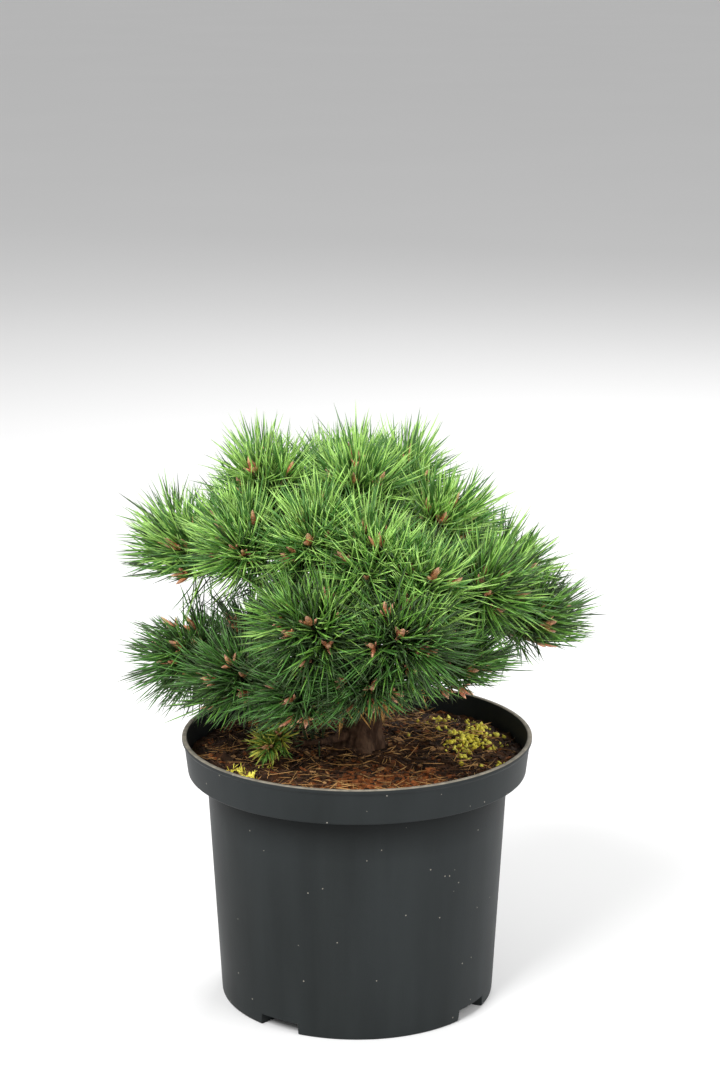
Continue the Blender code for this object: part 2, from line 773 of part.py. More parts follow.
def fitted_needles(index, needles, around, others):
    """The needles that find room, at the longest size that does."""
    kept = []
    for needle in needles:
        for size in NEEDLE_SIZES:
            apex = needle.root + (needle.apex - needle.root) * size
            foot = needle.root + (apex - needle.root) * NEEDLE_FOOT
            parted = needle.root + (apex - needle.root) * NEEDLE_PARTED
            if not around.allows(index, foot, apex, NEEDLE_WIDTH, 0.0):
                continue
            if not around.clear_of_limbs(foot, apex, NEEDLE_WIDTH):
                continue
            if not clears(foot, apex, NEEDLE_ROOM, others):
                continue
            if not clears(parted, apex, NEEDLE_ROOM, needle_stretches(kept, NEEDLE_PARTED)):
                continue
            kept.append(Needle(needle.face, needle.root, apex))
            break
    return kept


def make_mass(index, around, material):
    """One mass of foliage: its leader and side shoots, clothed in needles and joined."""
    mass = MASSES[index]
    rng = random.Random(5000 + index)
    cores = [core_rings(shoot, mass.size) for shoot in shoots_of(index, around)]
    meshes = []
    placed = []
    for rings in cores:
        points = core_points(rings)
        starts, ends, radii = needle_stretches(placed, 0.0)
        for other in cores:
            if other is not rings:
                starts += [ring[0] for ring in other[1:-1]]
                ends += [ring[0] for ring in other[2:]]
                radii += [CORE_WIDTH] * (len(other) - 2)
        needles = wanted_needles(points, rings, mass.size, rng)
        needles = fitted_needles(index, needles, around, (starts, ends, radii))
        placed += needles
        bud = rings[-1][0] + rings[-1][1] * BUD_LENGTH * mass.size
        meshes.append(spray_mesh(points, rings, needles, bud))
    made = add_object("foliage_" + mass.name, meshes[0], material)
    if len(meshes) > 1:
        combined(made, "UNION", meshes[1:])
    drop_scraps(made)


def main():
    """Clear the scene and build the plant."""
    for old in list(bpy.data.objects):
        bpy.data.objects.remove(old)
    plastic = finish("pot_plastic", (0.018, 0.021, 0.022), 0.42)
    earth = finish("peat_and_bark", (0.060, 0.028, 0.014), 0.95)
    bark = finish("pine_bark", (0.085, 0.050, 0.030), 0.90)
    needle_green = finish("pine_needles", (0.075, 0.170, 0.070), 0.55)
    make_pot(plastic)
    make_soil(earth)
    make_trunk(bark)
    around = Surroundings()
    for index, mass in enumerate(MASSES):
        if mass.bough is not None:
            make_bough(mass, bark)
        make_mass(index, around, needle_green)


main()
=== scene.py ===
"""The looks of a dwarf Scots pine in its round nursery pot.

The pot, soil, trunk, boughs and masses of foliage of the frame are replaced by fine
surfaces worked out as arrays: a turned pot with drains, a littered peat surface, limbs
with bark, and shoots clothed in paired needles with resinous buds. Metres, +Z up, with
the front of the plant towards -Y.
"""

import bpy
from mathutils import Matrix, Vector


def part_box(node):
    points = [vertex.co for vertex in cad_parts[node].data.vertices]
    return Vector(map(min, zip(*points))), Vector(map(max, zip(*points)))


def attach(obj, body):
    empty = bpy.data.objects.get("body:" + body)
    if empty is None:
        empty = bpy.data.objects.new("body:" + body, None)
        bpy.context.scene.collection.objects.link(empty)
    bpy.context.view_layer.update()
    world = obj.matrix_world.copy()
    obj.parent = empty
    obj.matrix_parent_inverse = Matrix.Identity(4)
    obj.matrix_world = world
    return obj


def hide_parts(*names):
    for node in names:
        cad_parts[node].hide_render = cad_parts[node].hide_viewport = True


bl_info = {
    "name": "Potted Dwarf Pine",
    "version": (1, 0, 0),
    "blender": (4, 5, 0),
    "location": "View3D > Sidebar > Pine",
    "description": "Pot, soil, wood, needles and buds of a potted dwarf pine",
    "category": "Add Mesh",
}

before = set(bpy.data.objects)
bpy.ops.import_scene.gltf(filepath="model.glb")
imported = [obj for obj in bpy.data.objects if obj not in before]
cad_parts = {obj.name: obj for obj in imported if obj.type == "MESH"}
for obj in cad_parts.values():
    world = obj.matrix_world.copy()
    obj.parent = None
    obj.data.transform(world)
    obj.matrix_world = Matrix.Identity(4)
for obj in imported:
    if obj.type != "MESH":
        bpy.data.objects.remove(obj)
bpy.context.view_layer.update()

import itertools
import math
import random
from collections import namedtuple

import bpy
import numpy as np
from bpy.props import FloatProperty, FloatVectorProperty, IntProperty, PointerProperty

POT_CORNER = np.array(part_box("pot")[1])

UP = np.array((0.0, 0.0, 1.0))

# Pot, in metres
POT_HEIGHT = float(POT_CORNER[2])
LIP_RADIUS = float(POT_CORNER[0])
WALL = 0.0016
FOOT_RADIUS = 0.0885
SHOULDER_RADIUS = 0.0970
COLLAR_HEIGHT = 0.0235
COLLAR_FOOT_RADIUS = 0.1088
COLLAR_TOP_RADIUS = 0.1112
LIP_HEIGHT = 0.0024
DRAIN_COUNT = 4
DRAIN_FIRST_ANGLE = -34.0
DRAIN_WIDTH = 0.028
DRAIN_HEIGHT = 0.0075
DRAIN_INNER_RADIUS = 0.058
POT_COLUMNS = 288
SHARP = 38.0

# Soil
SOIL_TOP = 0.1635
SOIL_EDGE = 0.1585
SOIL_LEVEL_RADIUS = 0.032
SOIL_WAVE = 0.0012
RUST_PATCH = (0.028, -0.068)
RUST_SIZE = (0.050, 0.036, 0.050)
SPOT_LIMIT = 0.102
SOIL_COLUMNS = 420
SOIL_ROWS = 110
CHIP_COUNTS = (3200, 1300, 330)
CHIP_LENGTH = 0.0012
LITTER_COUNTS = (620, 760)
LITTER_LIFT = 0.0012
MOSS_PATCHES = (((0.073, 0.024), (0.017, 0.029), 260), ((0.078, -0.016), (0.016, 0.018), 46),
                ((-0.063, -0.044), (0.014, 0.010), 100), ((0.052, 0.064), (0.020, 0.012), 40))

# Trunk and boughs
GAP = 0.0003
TRUNK_FOOT = SOIL_TOP + GAP
TRUNK_TIP = 0.3070
TRUNK_FOOT_X = 0.0020
TRUNK_FOOT_Y = 0.0040
TRUNK_TIP_X = 0.0005
TRUNK_TIP_Y = -0.0120
TRUNK_SWAY = 0.0035
TRUNK_FOOT_RADIUS = 0.0120
TRUNK_TIP_RADIUS = 0.0030
FLARE = 0.0055
FLARE_HEIGHT = 0.0090
BOUGH_TIP_RADIUS = 0.0021
BOUGH_FOOT_RADIUS = 0.0026
BOUGH_THICKENING = 0.0230
BOUGH_SWEEP = 0.42
LIMB_STEPS = 8
TRUNK_ROWS = 240
TRUNK_SIDES = 64
BOUGH_ROWS = 70
BOUGH_SIDES = 22

# Shoots
LEADER_LENGTH = 0.045
LEADER_SAG = 0.05
SIDE_LENGTH = 0.58
SIDE_SPREAD = 0.07
SIDE_FIRST = 0.10
SIDE_SPAN = 0.44
SIDE_LEAN = 50.0
SIDE_LEAN_SPREAD = 7.0
SIDE_BEND = 0.42
UPWARD = 0.30
GOLDEN_ANGLE = 137.5
SHORTER = 0.86
SHORTENINGS = 4
FINE_PLACES = (0.22, 0.60)
FINE_LEANS = (40.0, 62.0)
FINE_LENGTHS = (0.48, 0.70)
TWIG_RADIUS = 0.0017
TWIG_TAPER = 0.0006
CORE_WIDTH = 0.0024
CELL_ROOM = 0.0006
LIMB_ROOM = 0.0008
POT_ROOM = 0.0015
BUD_ROOM = 0.0070

# Needles: how they lean from a shoot's foot to its tip, and where the last ones stand
LEANS = (70.0, 25.0)
LEAN_SPREAD = 9.0
TIP_SHARE = 0.95
BALD = 14
# A random share of each shoot's needles wears a darker green: painted shade for the crown's inside.
SHADED_SHARE = 0.46
STRAY_SHARE = 0.55
STRAY_RIGHT = -0.112
OLD_LEANS = (82.0, 62.0)
DEAD_LEANS = (100.0, 80.0)
DEAD_WIDTH = 0.0012
DEAD_DROOP = 0.9
SOIL_NEEDLES = 0.62
# The darker green that each tone takes for that painted shade.
SHADED_TONES = (2, 3, 3, 3, 1)

# Open sky between the two tiers on the left
SKY_RIGHT = -0.072
SKY_HEIGHT = 0.2630
SKY_HALF = 0.0095
SKY_SLOPE = -0.30
SKY_DEPTH = 0.090

# The crown's lower edge: a bowl, lowest left of the trunk, that rises to the sides and the front
SKIRT_HEIGHT = 0.172
SKIRT_MIDDLE = -0.055
SKIRT_BOW = 1.50
SKIRT_FRONT = 0.32
SKIRT_BACK = 0.15
SKIRT_FREE = "soil_left"

# Seeds of the random draws
SHOOT_SEED, FINE_SEED, NEEDLE_SEED, BUD_SEED, DEAD_SEED = 1000, 9000, 300, 55, 66
CHIP_SEED, LITTER_SEED, MOSS_SEED = 21, 22, 23

# Stage: half the floor's width, what the lights aim at, and each one's place, width and share
FLOOR_HALF = 80.0
LIGHT_AIM = np.array((0.0, 0.0, 0.22))
LIGHTS = (("key", (-1.1, -1.5, 2.0), 1.2, 1.0), ("fill", (1.6, -1.2, 1.2), 1.4, 0.35),
          ("rim", (0.6, 1.6, 1.9), 1.2, 0.45))
CLIP_END = 400.0

# Bud angle, distance from the axis and height, the leader's rise, the bough's height on
# the trunk, the side shoots, and the size of each mass of foliage
Mass = namedtuple("Mass", "name angle reach height rise bough side_shoots size")

MASSES = (
    Mass("top_middle", 272, 0.020, 0.353, 82, None, 5, 1.00),
    Mass("top_left", 186, 0.058, 0.352, 86, 0.279, 4, 0.90),
    Mass("top_right", 34, 0.038, 0.346, 76, 0.287, 4, 0.90),
    Mass("left_upper", 211, 0.093, 0.316, 41, 0.250, 6, 0.90),
    Mass("left_far", 180, 0.122, 0.296, 20, 0.218, 6, 1.00),
    Mass("left_middle", 244, 0.070, 0.328, 62, 0.270, 5, 0.90),
    Mass("right_upper", 345, 0.060, 0.325, 60, 0.262, 6, 0.90),
    Mass("centre", 279, 0.081, 0.317, 52, 0.257, 5, 0.95),
    Mass("centre_left", 255, 0.106, 0.275, 31, 0.213, 6, 1.00),
    Mass("centre_right", 297, 0.099, 0.299, 42, 0.240, 5, 0.95),
    Mass("right_middle", 330, 0.102, 0.290, 39, 0.218, 6, 0.95),
    Mass("right_shoulder", 3, 0.105, 0.286, 34, 0.234, 5, 0.90),
    Mass("right_far", 357, 0.123, 0.255, 17, 0.190, 6, 1.00),
    Mass("front_low", 283, 0.113, 0.270, 27, 0.228, 5, 0.95),
    Mass("front_foot", 275, 0.100, 0.235, 6, 0.196, 5, 0.90),
    Mass("right_foot", 311, 0.102, 0.238, 9, 0.180, 5, 0.92),
    Mass("left_low_far", 184, 0.120, 0.233, 15, 0.184, 6, 0.92),
    Mass("left_low", 213, 0.104, 0.226, 10, 0.196, 5, 0.90),
    Mass("centre_low_left", 246, 0.097, 0.223, 6, 0.182, 5, 0.88),
    Mass("soil_left", 207, 0.068, 0.179, 14, 0.1735, 2, 0.50),
    Mass("back_top", 108, 0.050, 0.338, 71, 0.276, 5, 0.92),
    Mass("back_left_upper", 140, 0.096, 0.306, 43, 0.250, 6, 0.98),
    Mass("back_right_upper", 42, 0.092, 0.285, 37, 0.246, 6, 0.95),
    Mass("back_centre", 92, 0.112, 0.280, 30, 0.215, 6, 1.00),
    Mass("back_left_low", 136, 0.116, 0.214, 8, 0.182, 6, 0.95),
    Mass("back_right_low", 38, 0.116, 0.236, 14, 0.181, 6, 0.98),
)

Shoot = namedtuple("Shoot", "start bend end order")


# Vectors, curves and noise

def unit(vectors):
    """Vectors scaled to length one, one vector or rows of them."""
    vectors = np.asarray(vectors, dtype=float)
    return vectors / np.maximum(np.linalg.norm(vectors, axis=-1, keepdims=True), 1e-12)


def compass(angle, rise):
    """The unit vector at a compass angle and a rise above the level, in degrees."""
    turn = math.radians(angle)
    tilt = math.radians(rise)
    return np.array((math.cos(turn) * math.cos(tilt), math.sin(turn) * math.cos(tilt), math.sin(tilt)))


def curve_point(start, bend, end, t):
    """Points of the curve start(1-t)^2 + 2 bend t(1-t) + end t^2."""
    t = np.asarray(t, dtype=float)[..., None]
    return start * (1 - t) ** 2 + bend * 2 * t * (1 - t) + end * t ** 2


def curve_heading(start, bend, end, t):
    """Unit directions of that curve."""
    t = np.asarray(t, dtype=float)[..., None]
    return unit((bend - start) * (1 - t) + (end - bend) * t)


def cross_axes(heading):
    """Two unit vectors at right angles to one heading and to each other."""
    helper = UP if abs(heading[2]) < 0.9 else np.array((0.0, 1.0, 0.0))
    side = unit(np.cross(helper, heading))
    return side, np.cross(heading, side)


def carried_axes(headings):
    """Cross axes along a row of headings, carried along so that they never flip."""
    across = cross_axes(headings[0])[0]
    rows = []
    for heading in headings:
        across = unit(across - heading * (across @ heading))
        rows.append(across)
    rows = np.array(rows)
    return rows, np.cross(headings, rows)


def noise(points, size, seed=0):
    """Smooth value noise from -1 to 1: random numbers on a lattice, eased between its corners."""
    scaled = np.asarray(points, dtype=float) / size
    cell = np.floor(scaled).astype(np.int64)
    part = scaled - cell
    part = part * part * (3 - 2 * part)
    primes = np.array((374761393, 668265263, 974634777))
    total = np.zeros(len(scaled))
    for corner in itertools.product((0, 1), repeat=3):
        mixed = ((cell + np.array(corner)) @ primes + seed * 144665) & 0xFFFFFFFF
        mixed = ((mixed ^ (mixed >> 13)) * 1274126177) & 0xFFFFFFFF
        value = ((mixed ^ (mixed >> 16)) & 0xFFFF) / 32767.5 - 1.0
        total += value * np.prod(np.where(corner, part, 1 - part), axis=1)
    return total


def ease(values, low, high):
    """From 0 below low to 1 above high with a smooth start and end."""
    t = np.clip((np.asarray(values, dtype=float) - low) / (high - low), 0.0, 1.0)
    return t * t * (3 - 2 * t)


# Meshes

def grid_quads(rows, columns, closed=True):
    """Quads between neighbouring rows and columns; a closed grid joins its last column to its first."""
    row = np.arange(rows - 1)[:, None]
    column = np.arange(columns if closed else columns - 1)[None, :]
    after = (column + 1) % columns
    here, above = row * columns, (row + 1) * columns
    return np.stack((here + column, here + after, above + after, above + column), axis=-1).reshape(-1, 4)


def fan(centre, ring):
    """Triangles from one point to each side of a ring of points."""
    ring = np.asarray(ring)
    return np.stack((np.full(len(ring), centre), ring, np.roll(ring, -1)), axis=-1)


def add_piece(name, points, quads, triangles, materials, slot, uv=None, slots=None, smooth=True):
    """Make a mesh object from arrays, in the frame's own place, and let it ride on the plant."""
    quads = np.asarray(quads, dtype=np.int32).reshape(-1, 4)
    triangles = np.asarray(triangles, dtype=np.int32).reshape(-1, 3)
    loops = np.concatenate((quads.ravel(), triangles.ravel()))
    starts = np.concatenate((np.arange(len(quads)) * 4, len(quads) * 4 + np.arange(len(triangles)) * 3))
    mesh = bpy.data.meshes.new(name)
    mesh.vertices.add(len(points))
    mesh.vertices.foreach_set("co", np.asarray(points, dtype=np.float32).ravel())
    mesh.loops.add(len(loops))
    mesh.loops.foreach_set("vertex_index", loops)
    mesh.polygons.add(len(starts))
    mesh.polygons.foreach_set("loop_start", starts.astype(np.int32))
    mesh.polygons.foreach_set("use_smooth", np.full(len(starts), smooth))
    for material in materials:
        mesh.materials.append(material)
    if slots is not None:
        mesh.polygons.foreach_set("material_index", np.asarray(slots, dtype=np.int32))
    if uv is not None:
        layer = mesh.uv_layers.new(name="along")
        layer.data.foreach_set("uv", np.asarray(uv, dtype=np.float32)[loops].ravel())
    mesh.update(calc_edges=True)
    if mesh.validate():
        print("mended mesh", name)
    piece = bpy.data.objects.new(name, mesh)
    bpy.context.scene.collection.objects.link(piece)
    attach(piece, "root")
    return piece


class Parts:
    """Gathers arrays of points and faces that are joined into one mesh."""

    def __init__(self):
        self.points, self.quads, self.triangles, self.uv = [], [], [], []
        self.quad_slots, self.triangle_slots = [], []
        self.count = 0

    def add(self, points, quads, triangles, uv=None, slot=0):
        """Add one shape; its faces count from its own first point."""
        quads = np.asarray(quads, dtype=np.int64).reshape(-1, 4)
        triangles = np.asarray(triangles, dtype=np.int64).reshape(-1, 3)
        self.points.append(points)
        self.quads.append(quads + self.count)
        self.triangles.append(triangles + self.count)
        self.uv.append(np.zeros((len(points), 2)) if uv is None else uv)
        self.quad_slots.append(np.broadcast_to(slot, len(quads)))
        self.triangle_slots.append(np.broadcast_to(slot, len(triangles)))
        self.count += len(points)

    def piece(self, name, materials, slot, smooth=True):
        """The joined mesh as one piece."""
        slots = np.concatenate(self.quad_slots + self.triangle_slots)
        joined = [np.concatenate(arrays) for arrays in (self.points, self.quads, self.triangles, self.uv)]
        return add_piece(name, *joined[:3], materials, slot, joined[3], slots, smooth)


def tube(centres, radii, sides, relief=None):
    """A closed limb: circles of the given radii round a line of centres, pushed out by a relief."""
    centres = np.asarray(centres, dtype=float)
    headings = unit(np.gradient(centres, axis=0))
    across, over = carried_axes(headings)
    turn = np.linspace(0, math.tau, sides, endpoint=False)
    out = across[:, None, :] * np.cos(turn)[None, :, None] + over[:, None, :] * np.sin(turn)[None, :, None]
    points = centres[:, None, :] + out * np.asarray(radii, dtype=float)[:, None, None]
    if relief is not None:
        points = points + out * relief(points.reshape(-1, 3)).reshape(len(centres), sides, 1)
    rows = len(centres)
    points = np.concatenate((points.reshape(-1, 3), centres[:1], centres[-1:]))
    first = np.arange(sides)
    caps = np.concatenate((fan(rows * sides, first[::-1]), fan(rows * sides + 1, first + (rows - 1) * sides)))
    along = np.linspace(0, 1, rows)
    uv = np.stack(np.broadcast_arrays(turn[None, :] / math.tau, along[:, None]), axis=-1).reshape(-1, 2)
    uv = np.concatenate((uv, [(0, 0), (0, 1)]))
    return points, grid_quads(rows, sides), caps, uv


def needle_shapes(roots, headings, sides, lengths, widths, bends):
    """Curved tapering three-sided needles, all at once.

    A needle's centre line is root + length (t heading + bend t^2 side). Three rings of
    three points stand round it at t = 0, 0.35 and 0.74, wide across and thinner along
    side, and a last point closes it at t = 1.
    """
    count = len(roots)
    over = unit(np.cross(headings, sides))
    points = np.empty((count, 10, 3))
    uv = np.empty((count, 10, 2))
    for ring, (t, share) in enumerate(((0.0, 0.62), (0.35, 1.0), (0.74, 0.78))):
        centre = roots + lengths[:, None] * (t * headings + (bends * t * t)[:, None] * sides)
        for corner in range(3):
            turn = math.tau * corner / 3 + 0.5
            wide = over * (math.cos(turn) * 0.5 * share)
            thick = sides * (math.sin(turn) * 0.34 * share)
            points[:, ring * 3 + corner] = centre + (wide + thick) * widths[:, None]
            uv[:, ring * 3 + corner] = (corner / 3, t)
    points[:, 9] = roots + lengths[:, None] * (headings + bends[:, None] * sides)
    uv[:, 9] = (0.5, 1.0)
    quads = [(low + side, low + (side + 1) % 3, low + 3 + (side + 1) % 3, low + 3 + side)
             for low in (0, 3) for side in range(3)]
    triangles = [(6, 7, 9), (7, 8, 9), (8, 6, 9), (2, 1, 0)]
    first = (np.arange(count) * 10)[:, None, None]
    quads = (np.array(quads)[None] + first).reshape(-1, 4)
    triangles = (np.array(triangles)[None] + first).reshape(-1, 3)
    return points.reshape(-1, 3), quads, triangles, uv.reshape(-1, 2)


def copies(shape, faces, places, axes, scales):
    """Copies of a small shape: each point is place + scale * (x, y, z) in its own axes."""
    moved = np.einsum("pk,nk,nkj->npj", shape, scales, axes) + places[:, None, :]
    first = (np.arange(len(places)) * len(shape))[:, None, None]
    faces = [(np.asarray(face)[None] + first).reshape(-1, np.asarray(face).shape[1]) for face in faces]
    return moved.reshape(-1, 3), faces


def random_axes(rng, count, tilt):
    """Rows of three axes: turned at random about Z and tilted by up to a share."""
    turn = rng.uniform(0, math.tau, count)
    up = unit(np.stack((rng.normal(0, tilt, count), rng.normal(0, tilt, count), np.ones(count)), axis=-1))
    along = np.stack((np.cos(turn), np.sin(turn), np.zeros(count)), axis=-1)
    along = unit(along - up * np.sum(along * up, axis=1, keepdims=True))
    return np.stack((along, np.cross(up, along), up), axis=1)


# Finishes

def colour(values):
    """A colour with full alpha."""
    return (*values[:3], 1.0)


def add_node(tree, kind, inputs, **settings):
    """A new node with its settings, each input linked to a socket or given a value."""
    node = tree.nodes.new(kind)
    for name, value in settings.items():
        setattr(node, name, value)
    for name, value in inputs.items():
        socket = node.inputs[name]
        if isinstance(value, bpy.types.NodeSocket):
            tree.links.new(value, socket)
        else:
            socket.default_value = colour(value) if socket.type == "RGBA" else value
    return node


def node_group(name, inputs, outputs):
    """A shader node group with named sockets, and the sockets at its start and its end."""
    group = bpy.data.node_groups.new(name, "ShaderNodeTree")
    for direction, sockets in (("INPUT", inputs), ("OUTPUT", outputs)):
        for socket, kind in sockets.items():
            group.interface.new_socket(socket, in_out=direction, socket_type="NodeSocket" + kind)
    return group, group.nodes.new("NodeGroupInput").outputs, group.nodes.new("NodeGroupOutput").inputs


def drift_group():
    """Two colours that drift into each other in soft patches, and the patches as a mask."""
    name = "Colour drift"
    if name in bpy.data.node_groups:
        return bpy.data.node_groups[name]
    inputs = {"Vector": "Vector", "Scale": "Float", "Contrast": "Float",
              "Colour A": "Color", "Colour B": "Color"}
    group, entry, leave = node_group(name, inputs, {"Colour": "Color", "Mask": "Float"})
    texture = {"Vector": entry["Vector"], "Scale": entry["Scale"], "Detail": 4.0}
    clouds = add_node(group, "ShaderNodeTexNoise", texture)
    middle = add_node(group, "ShaderNodeMath", {0: clouds.outputs["Fac"], 1: 0.5}, operation="SUBTRACT")
    spread = add_node(group, "ShaderNodeMath", {0: middle.outputs[0], 1: entry["Contrast"], 2: 0.5},
                      operation="MULTIPLY_ADD", use_clamp=True)
    colours = {"Factor": spread.outputs[0], "A": entry["Colour A"], "B": entry["Colour B"]}
    mix = add_node(group, "ShaderNodeMix", colours, data_type="RGBA")
    group.links.new(mix.outputs["Result"], leave["Colour"])
    group.links.new(spread.outputs[0], leave["Mask"])
    return group


def specks_group():
    """Small scattered specks, such as dust or grains, as a mask."""
    name = "Specks"
    if name in bpy.data.node_groups:
        return bpy.data.node_groups[name]
    inputs = {"Vector": "Vector", "Scale": "Float", "Size": "Float", "Share": "Float"}
    group, entry, leave = node_group(name, inputs, {"Mask": "Float"})
    cells = add_node(group, "ShaderNodeTexVoronoi", {"Vector": entry["Vector"], "Scale": entry["Scale"]})
    apart = add_node(group, "ShaderNodeSeparateColor", {0: cells.outputs["Color"]})
    limits = ((cells.outputs["Distance"], "Size"), (apart.outputs[0], "Share"))
    near, chosen = (add_node(group, "ShaderNodeMath", {0: value, 1: entry[limit]}, operation="LESS_THAN")
                    for value, limit in limits)
    both = add_node(group, "ShaderNodeMath", {0: near.outputs[0], 1: chosen.outputs[0]}, operation="MULTIPLY")
    group.links.new(both.outputs[0], leave["Mask"])
    return group


class Finish:
    """A material under construction: a Principled shader and the nodes that feed it."""

    def __init__(self, name, roughness, specular=0.5):
        self.material = bpy.data.materials.new(name)
        self.material.use_nodes = True
        self.tree = self.material.node_tree
        self.tree.nodes.clear()
        inputs = {"Roughness": roughness, "Specular IOR Level": specular}
        self.shader = self.node("ShaderNodeBsdfPrincipled", inputs)
        self.node("ShaderNodeOutputMaterial", {"Surface": self.shader.outputs["BSDF"]})
        self.place = self.node("ShaderNodeTexCoord", {}).outputs["Object"]

    def node(self, kind, inputs, **settings):
        """A new node of this material."""
        return add_node(self.tree, kind, inputs, **settings)

    def feed(self, name, socket):
        """Link a socket to one of the shader's inputs."""
        self.tree.links.new(socket, self.shader.inputs[name])

    def stretched(self, scale):
        """Object coordinates stretched along the axes."""
        return self.node("ShaderNodeMapping", {"Vector": self.place, "Scale": scale}).outputs["Vector"]

    def drift(self, first, second, scale, contrast, vector=None):
        """Two colours drifting into each other; returns the group node."""
        inputs = {"Vector": vector or self.place, "Scale": scale, "Contrast": contrast,
                  "Colour A": first, "Colour B": second}
        return self.node("ShaderNodeGroup", inputs, node_tree=drift_group())

    def specks(self, scale, size, share):
        """A mask of scattered specks."""
        inputs = {"Vector": self.place, "Scale": scale, "Size": size, "Share": share}
        return self.node("ShaderNodeGroup", inputs, node_tree=specks_group()).outputs["Mask"]

    def mix(self, factor, first, second):
        """A mix of two colours, each a socket or values."""
        inputs = {"Factor": factor, "A": first, "B": second}
        return self.node("ShaderNodeMix", inputs, data_type="RGBA").outputs["Result"]

    def math(self, operation, first, second):
        """One sum of sockets or values."""
        return self.node("ShaderNodeMath", {0: first, 1: second}, operation=operation).outputs[0]

    def ramp(self, factor, stops):
        """Colours at places along a value."""
        node = self.node("ShaderNodeValToRGB", {"Fac": factor})
        ramp = node.color_ramp
        for element, (position, value) in zip(ramp.elements, (stops[0], stops[-1])):
            element.position, element.color = position, colour(value)
        for position, value in stops[1:-1]:
            ramp.elements.new(position).color = colour(value)
        return node.outputs["Color"]

    def spot(self, centre, size):
        """A round patch: 1 in its middle, fading to 0 at its size."""
        inputs = {"Vector": self.place, "Location": centre, "Scale": size}
        mapping = self.node("ShaderNodeMapping", inputs, vector_type="TEXTURE").outputs["Vector"]
        ball = self.node("ShaderNodeTexGradient", {"Vector": mapping}, gradient_type="SPHERICAL")
        return ball.outputs["Fac"]

    def height(self, low, high):
        """From 0 at one height to 1 at another."""
        apart = self.node("ShaderNodeSeparateXYZ", {0: self.place})
        inputs = {"Value": apart.outputs["Z"], "From Min": low, "From Max": high}
        return self.node("ShaderNodeMapRange", inputs).outputs["Result"]

    def uv(self, number):
        """One coordinate of the piece's own map: 0 round it, 1 along it."""
        own = self.node("ShaderNodeUVMap", {}, uv_map="along").outputs["UV"]
        return self.node("ShaderNodeSeparateXYZ", {0: own}).outputs[number]

    def noise(self, scale, vector=None, detail=4.0):
        """A noise value."""
        inputs = {"Vector": vector or self.place, "Scale": scale, "Detail": detail}
        return self.node("ShaderNodeTexNoise", inputs).outputs["Fac"]

    def bump(self, height, distance, strength=1.0):
        """Relief from a height, on the shader's normal."""
        inputs = {"Strength": strength, "Distance": distance, "Height": height}
        self.feed("Normal", self.node("ShaderNodeBump", inputs).outputs["Normal"])

    def base(self, socket):
        """The shader's colour."""
        self.feed("Base Color", socket)
        return self.material

    def roughness(self, socket, low, high):
        """The shader's roughness from a 0 to 1 value."""
        inputs = {"Value": socket, "To Min": low, "To Max": high}
        self.feed("Roughness", self.node("ShaderNodeMapRange", inputs).outputs["Result"])


def dimmed(values, share):
    """A colour at a share of its strength."""
    return tuple(value * share for value in values)


def pot_plastic(looks):
    """Black moulded plastic: faint upright streaks, dull bluish-grey patches that are partly painted sheen,
    dust specks, fine grain, painted shade under the collar and a pale line along the lip.
    """
    finish = Finish("pot_plastic", 0.50, 0.07)
    upright = finish.stretched((1.0, 1.0, 0.06))
    dark = dimmed(looks.pot, 0.72)
    body = finish.drift(dark, looks.pot, 60.0, 2.2, upright)
    plain = body.outputs["Colour"]
    # Dull bluish-grey upright patches: partly random tone of the plastic, partly painted sheen.
    clouds = finish.drift(plain, (0.034, 0.037, 0.036), 16.0, 2.4, finish.stretched((1.0, 1.0, 0.30)))
    grey = finish.mix(finish.math("MULTIPLY", clouds.outputs["Mask"], 0.50), plain, (0.033, 0.038, 0.040))
    dots = finish.specks(330.0, 0.16, 0.035)
    dots = finish.math("MULTIPLY", dots, 0.75)
    finish.roughness(finish.noise(14.0), 0.34, 0.56)
    finish.bump(finish.noise(900.0), 0.00012, 0.5)
    dotted = finish.mix(dots, grey, (0.30, 0.28, 0.24))
    # Painted shade: the body grows darker just below the collar, where the collar's shadow falls.
    shoulder = POT_HEIGHT - COLLAR_HEIGHT
    below = finish.math("MULTIPLY", finish.height(shoulder - 0.030, shoulder - 0.001), 0.85)
    painted_collar_shade = finish.math("MULTIPLY", below, finish.height(shoulder + 0.0006, shoulder + 0.0002))
    shaded = finish.mix(painted_collar_shade, dotted, (0.009, 0.010, 0.010))
    # A thin pale tan line along the top of the lip, broken up by noise.
    lip = finish.height(POT_HEIGHT - 0.0006, POT_HEIGHT - 0.0002)
    pale_lip_line = finish.math("MULTIPLY", lip, finish.noise(160.0))
    return finish.base(finish.mix(pale_lip_line, shaded, (0.44, 0.39, 0.31)))


def soil_finish(looks):
    """Moist peat and bark: dark brown with redder and paler patches and grains."""
    finish = Finish("peat_and_bark", 0.93, 0.25)
    deep = finish.drift((0.008, 0.004, 0.002), looks.soil, 70.0, 3.4)
    rusty = finish.math("MULTIPLY", finish.spot((*RUST_PATCH, SOIL_TOP), RUST_SIZE), finish.noise(120.0))
    red = finish.mix(finish.math("MULTIPLY", rusty, 1.6), deep.outputs["Colour"], (0.36, 0.095, 0.018))
    grains = finish.specks(420.0, 0.26, 0.10)
    base = finish.mix(finish.math("MULTIPLY", grains, 0.6), red, (0.42, 0.21, 0.07))
    finish.bump(finish.noise(450.0, detail=8.0), 0.0012, 0.9)
    return finish.base(base)


def chip_finish(name, light, dark):
    """A chip or shred of bark with its own grain."""
    finish = Finish(name, 0.85, 0.25)
    grain = finish.drift(dark, light, 260.0, 2.6)
    finish.bump(finish.noise(700.0, detail=6.0), 0.0006, 0.7)
    return finish.base(grain.outputs["Colour"])


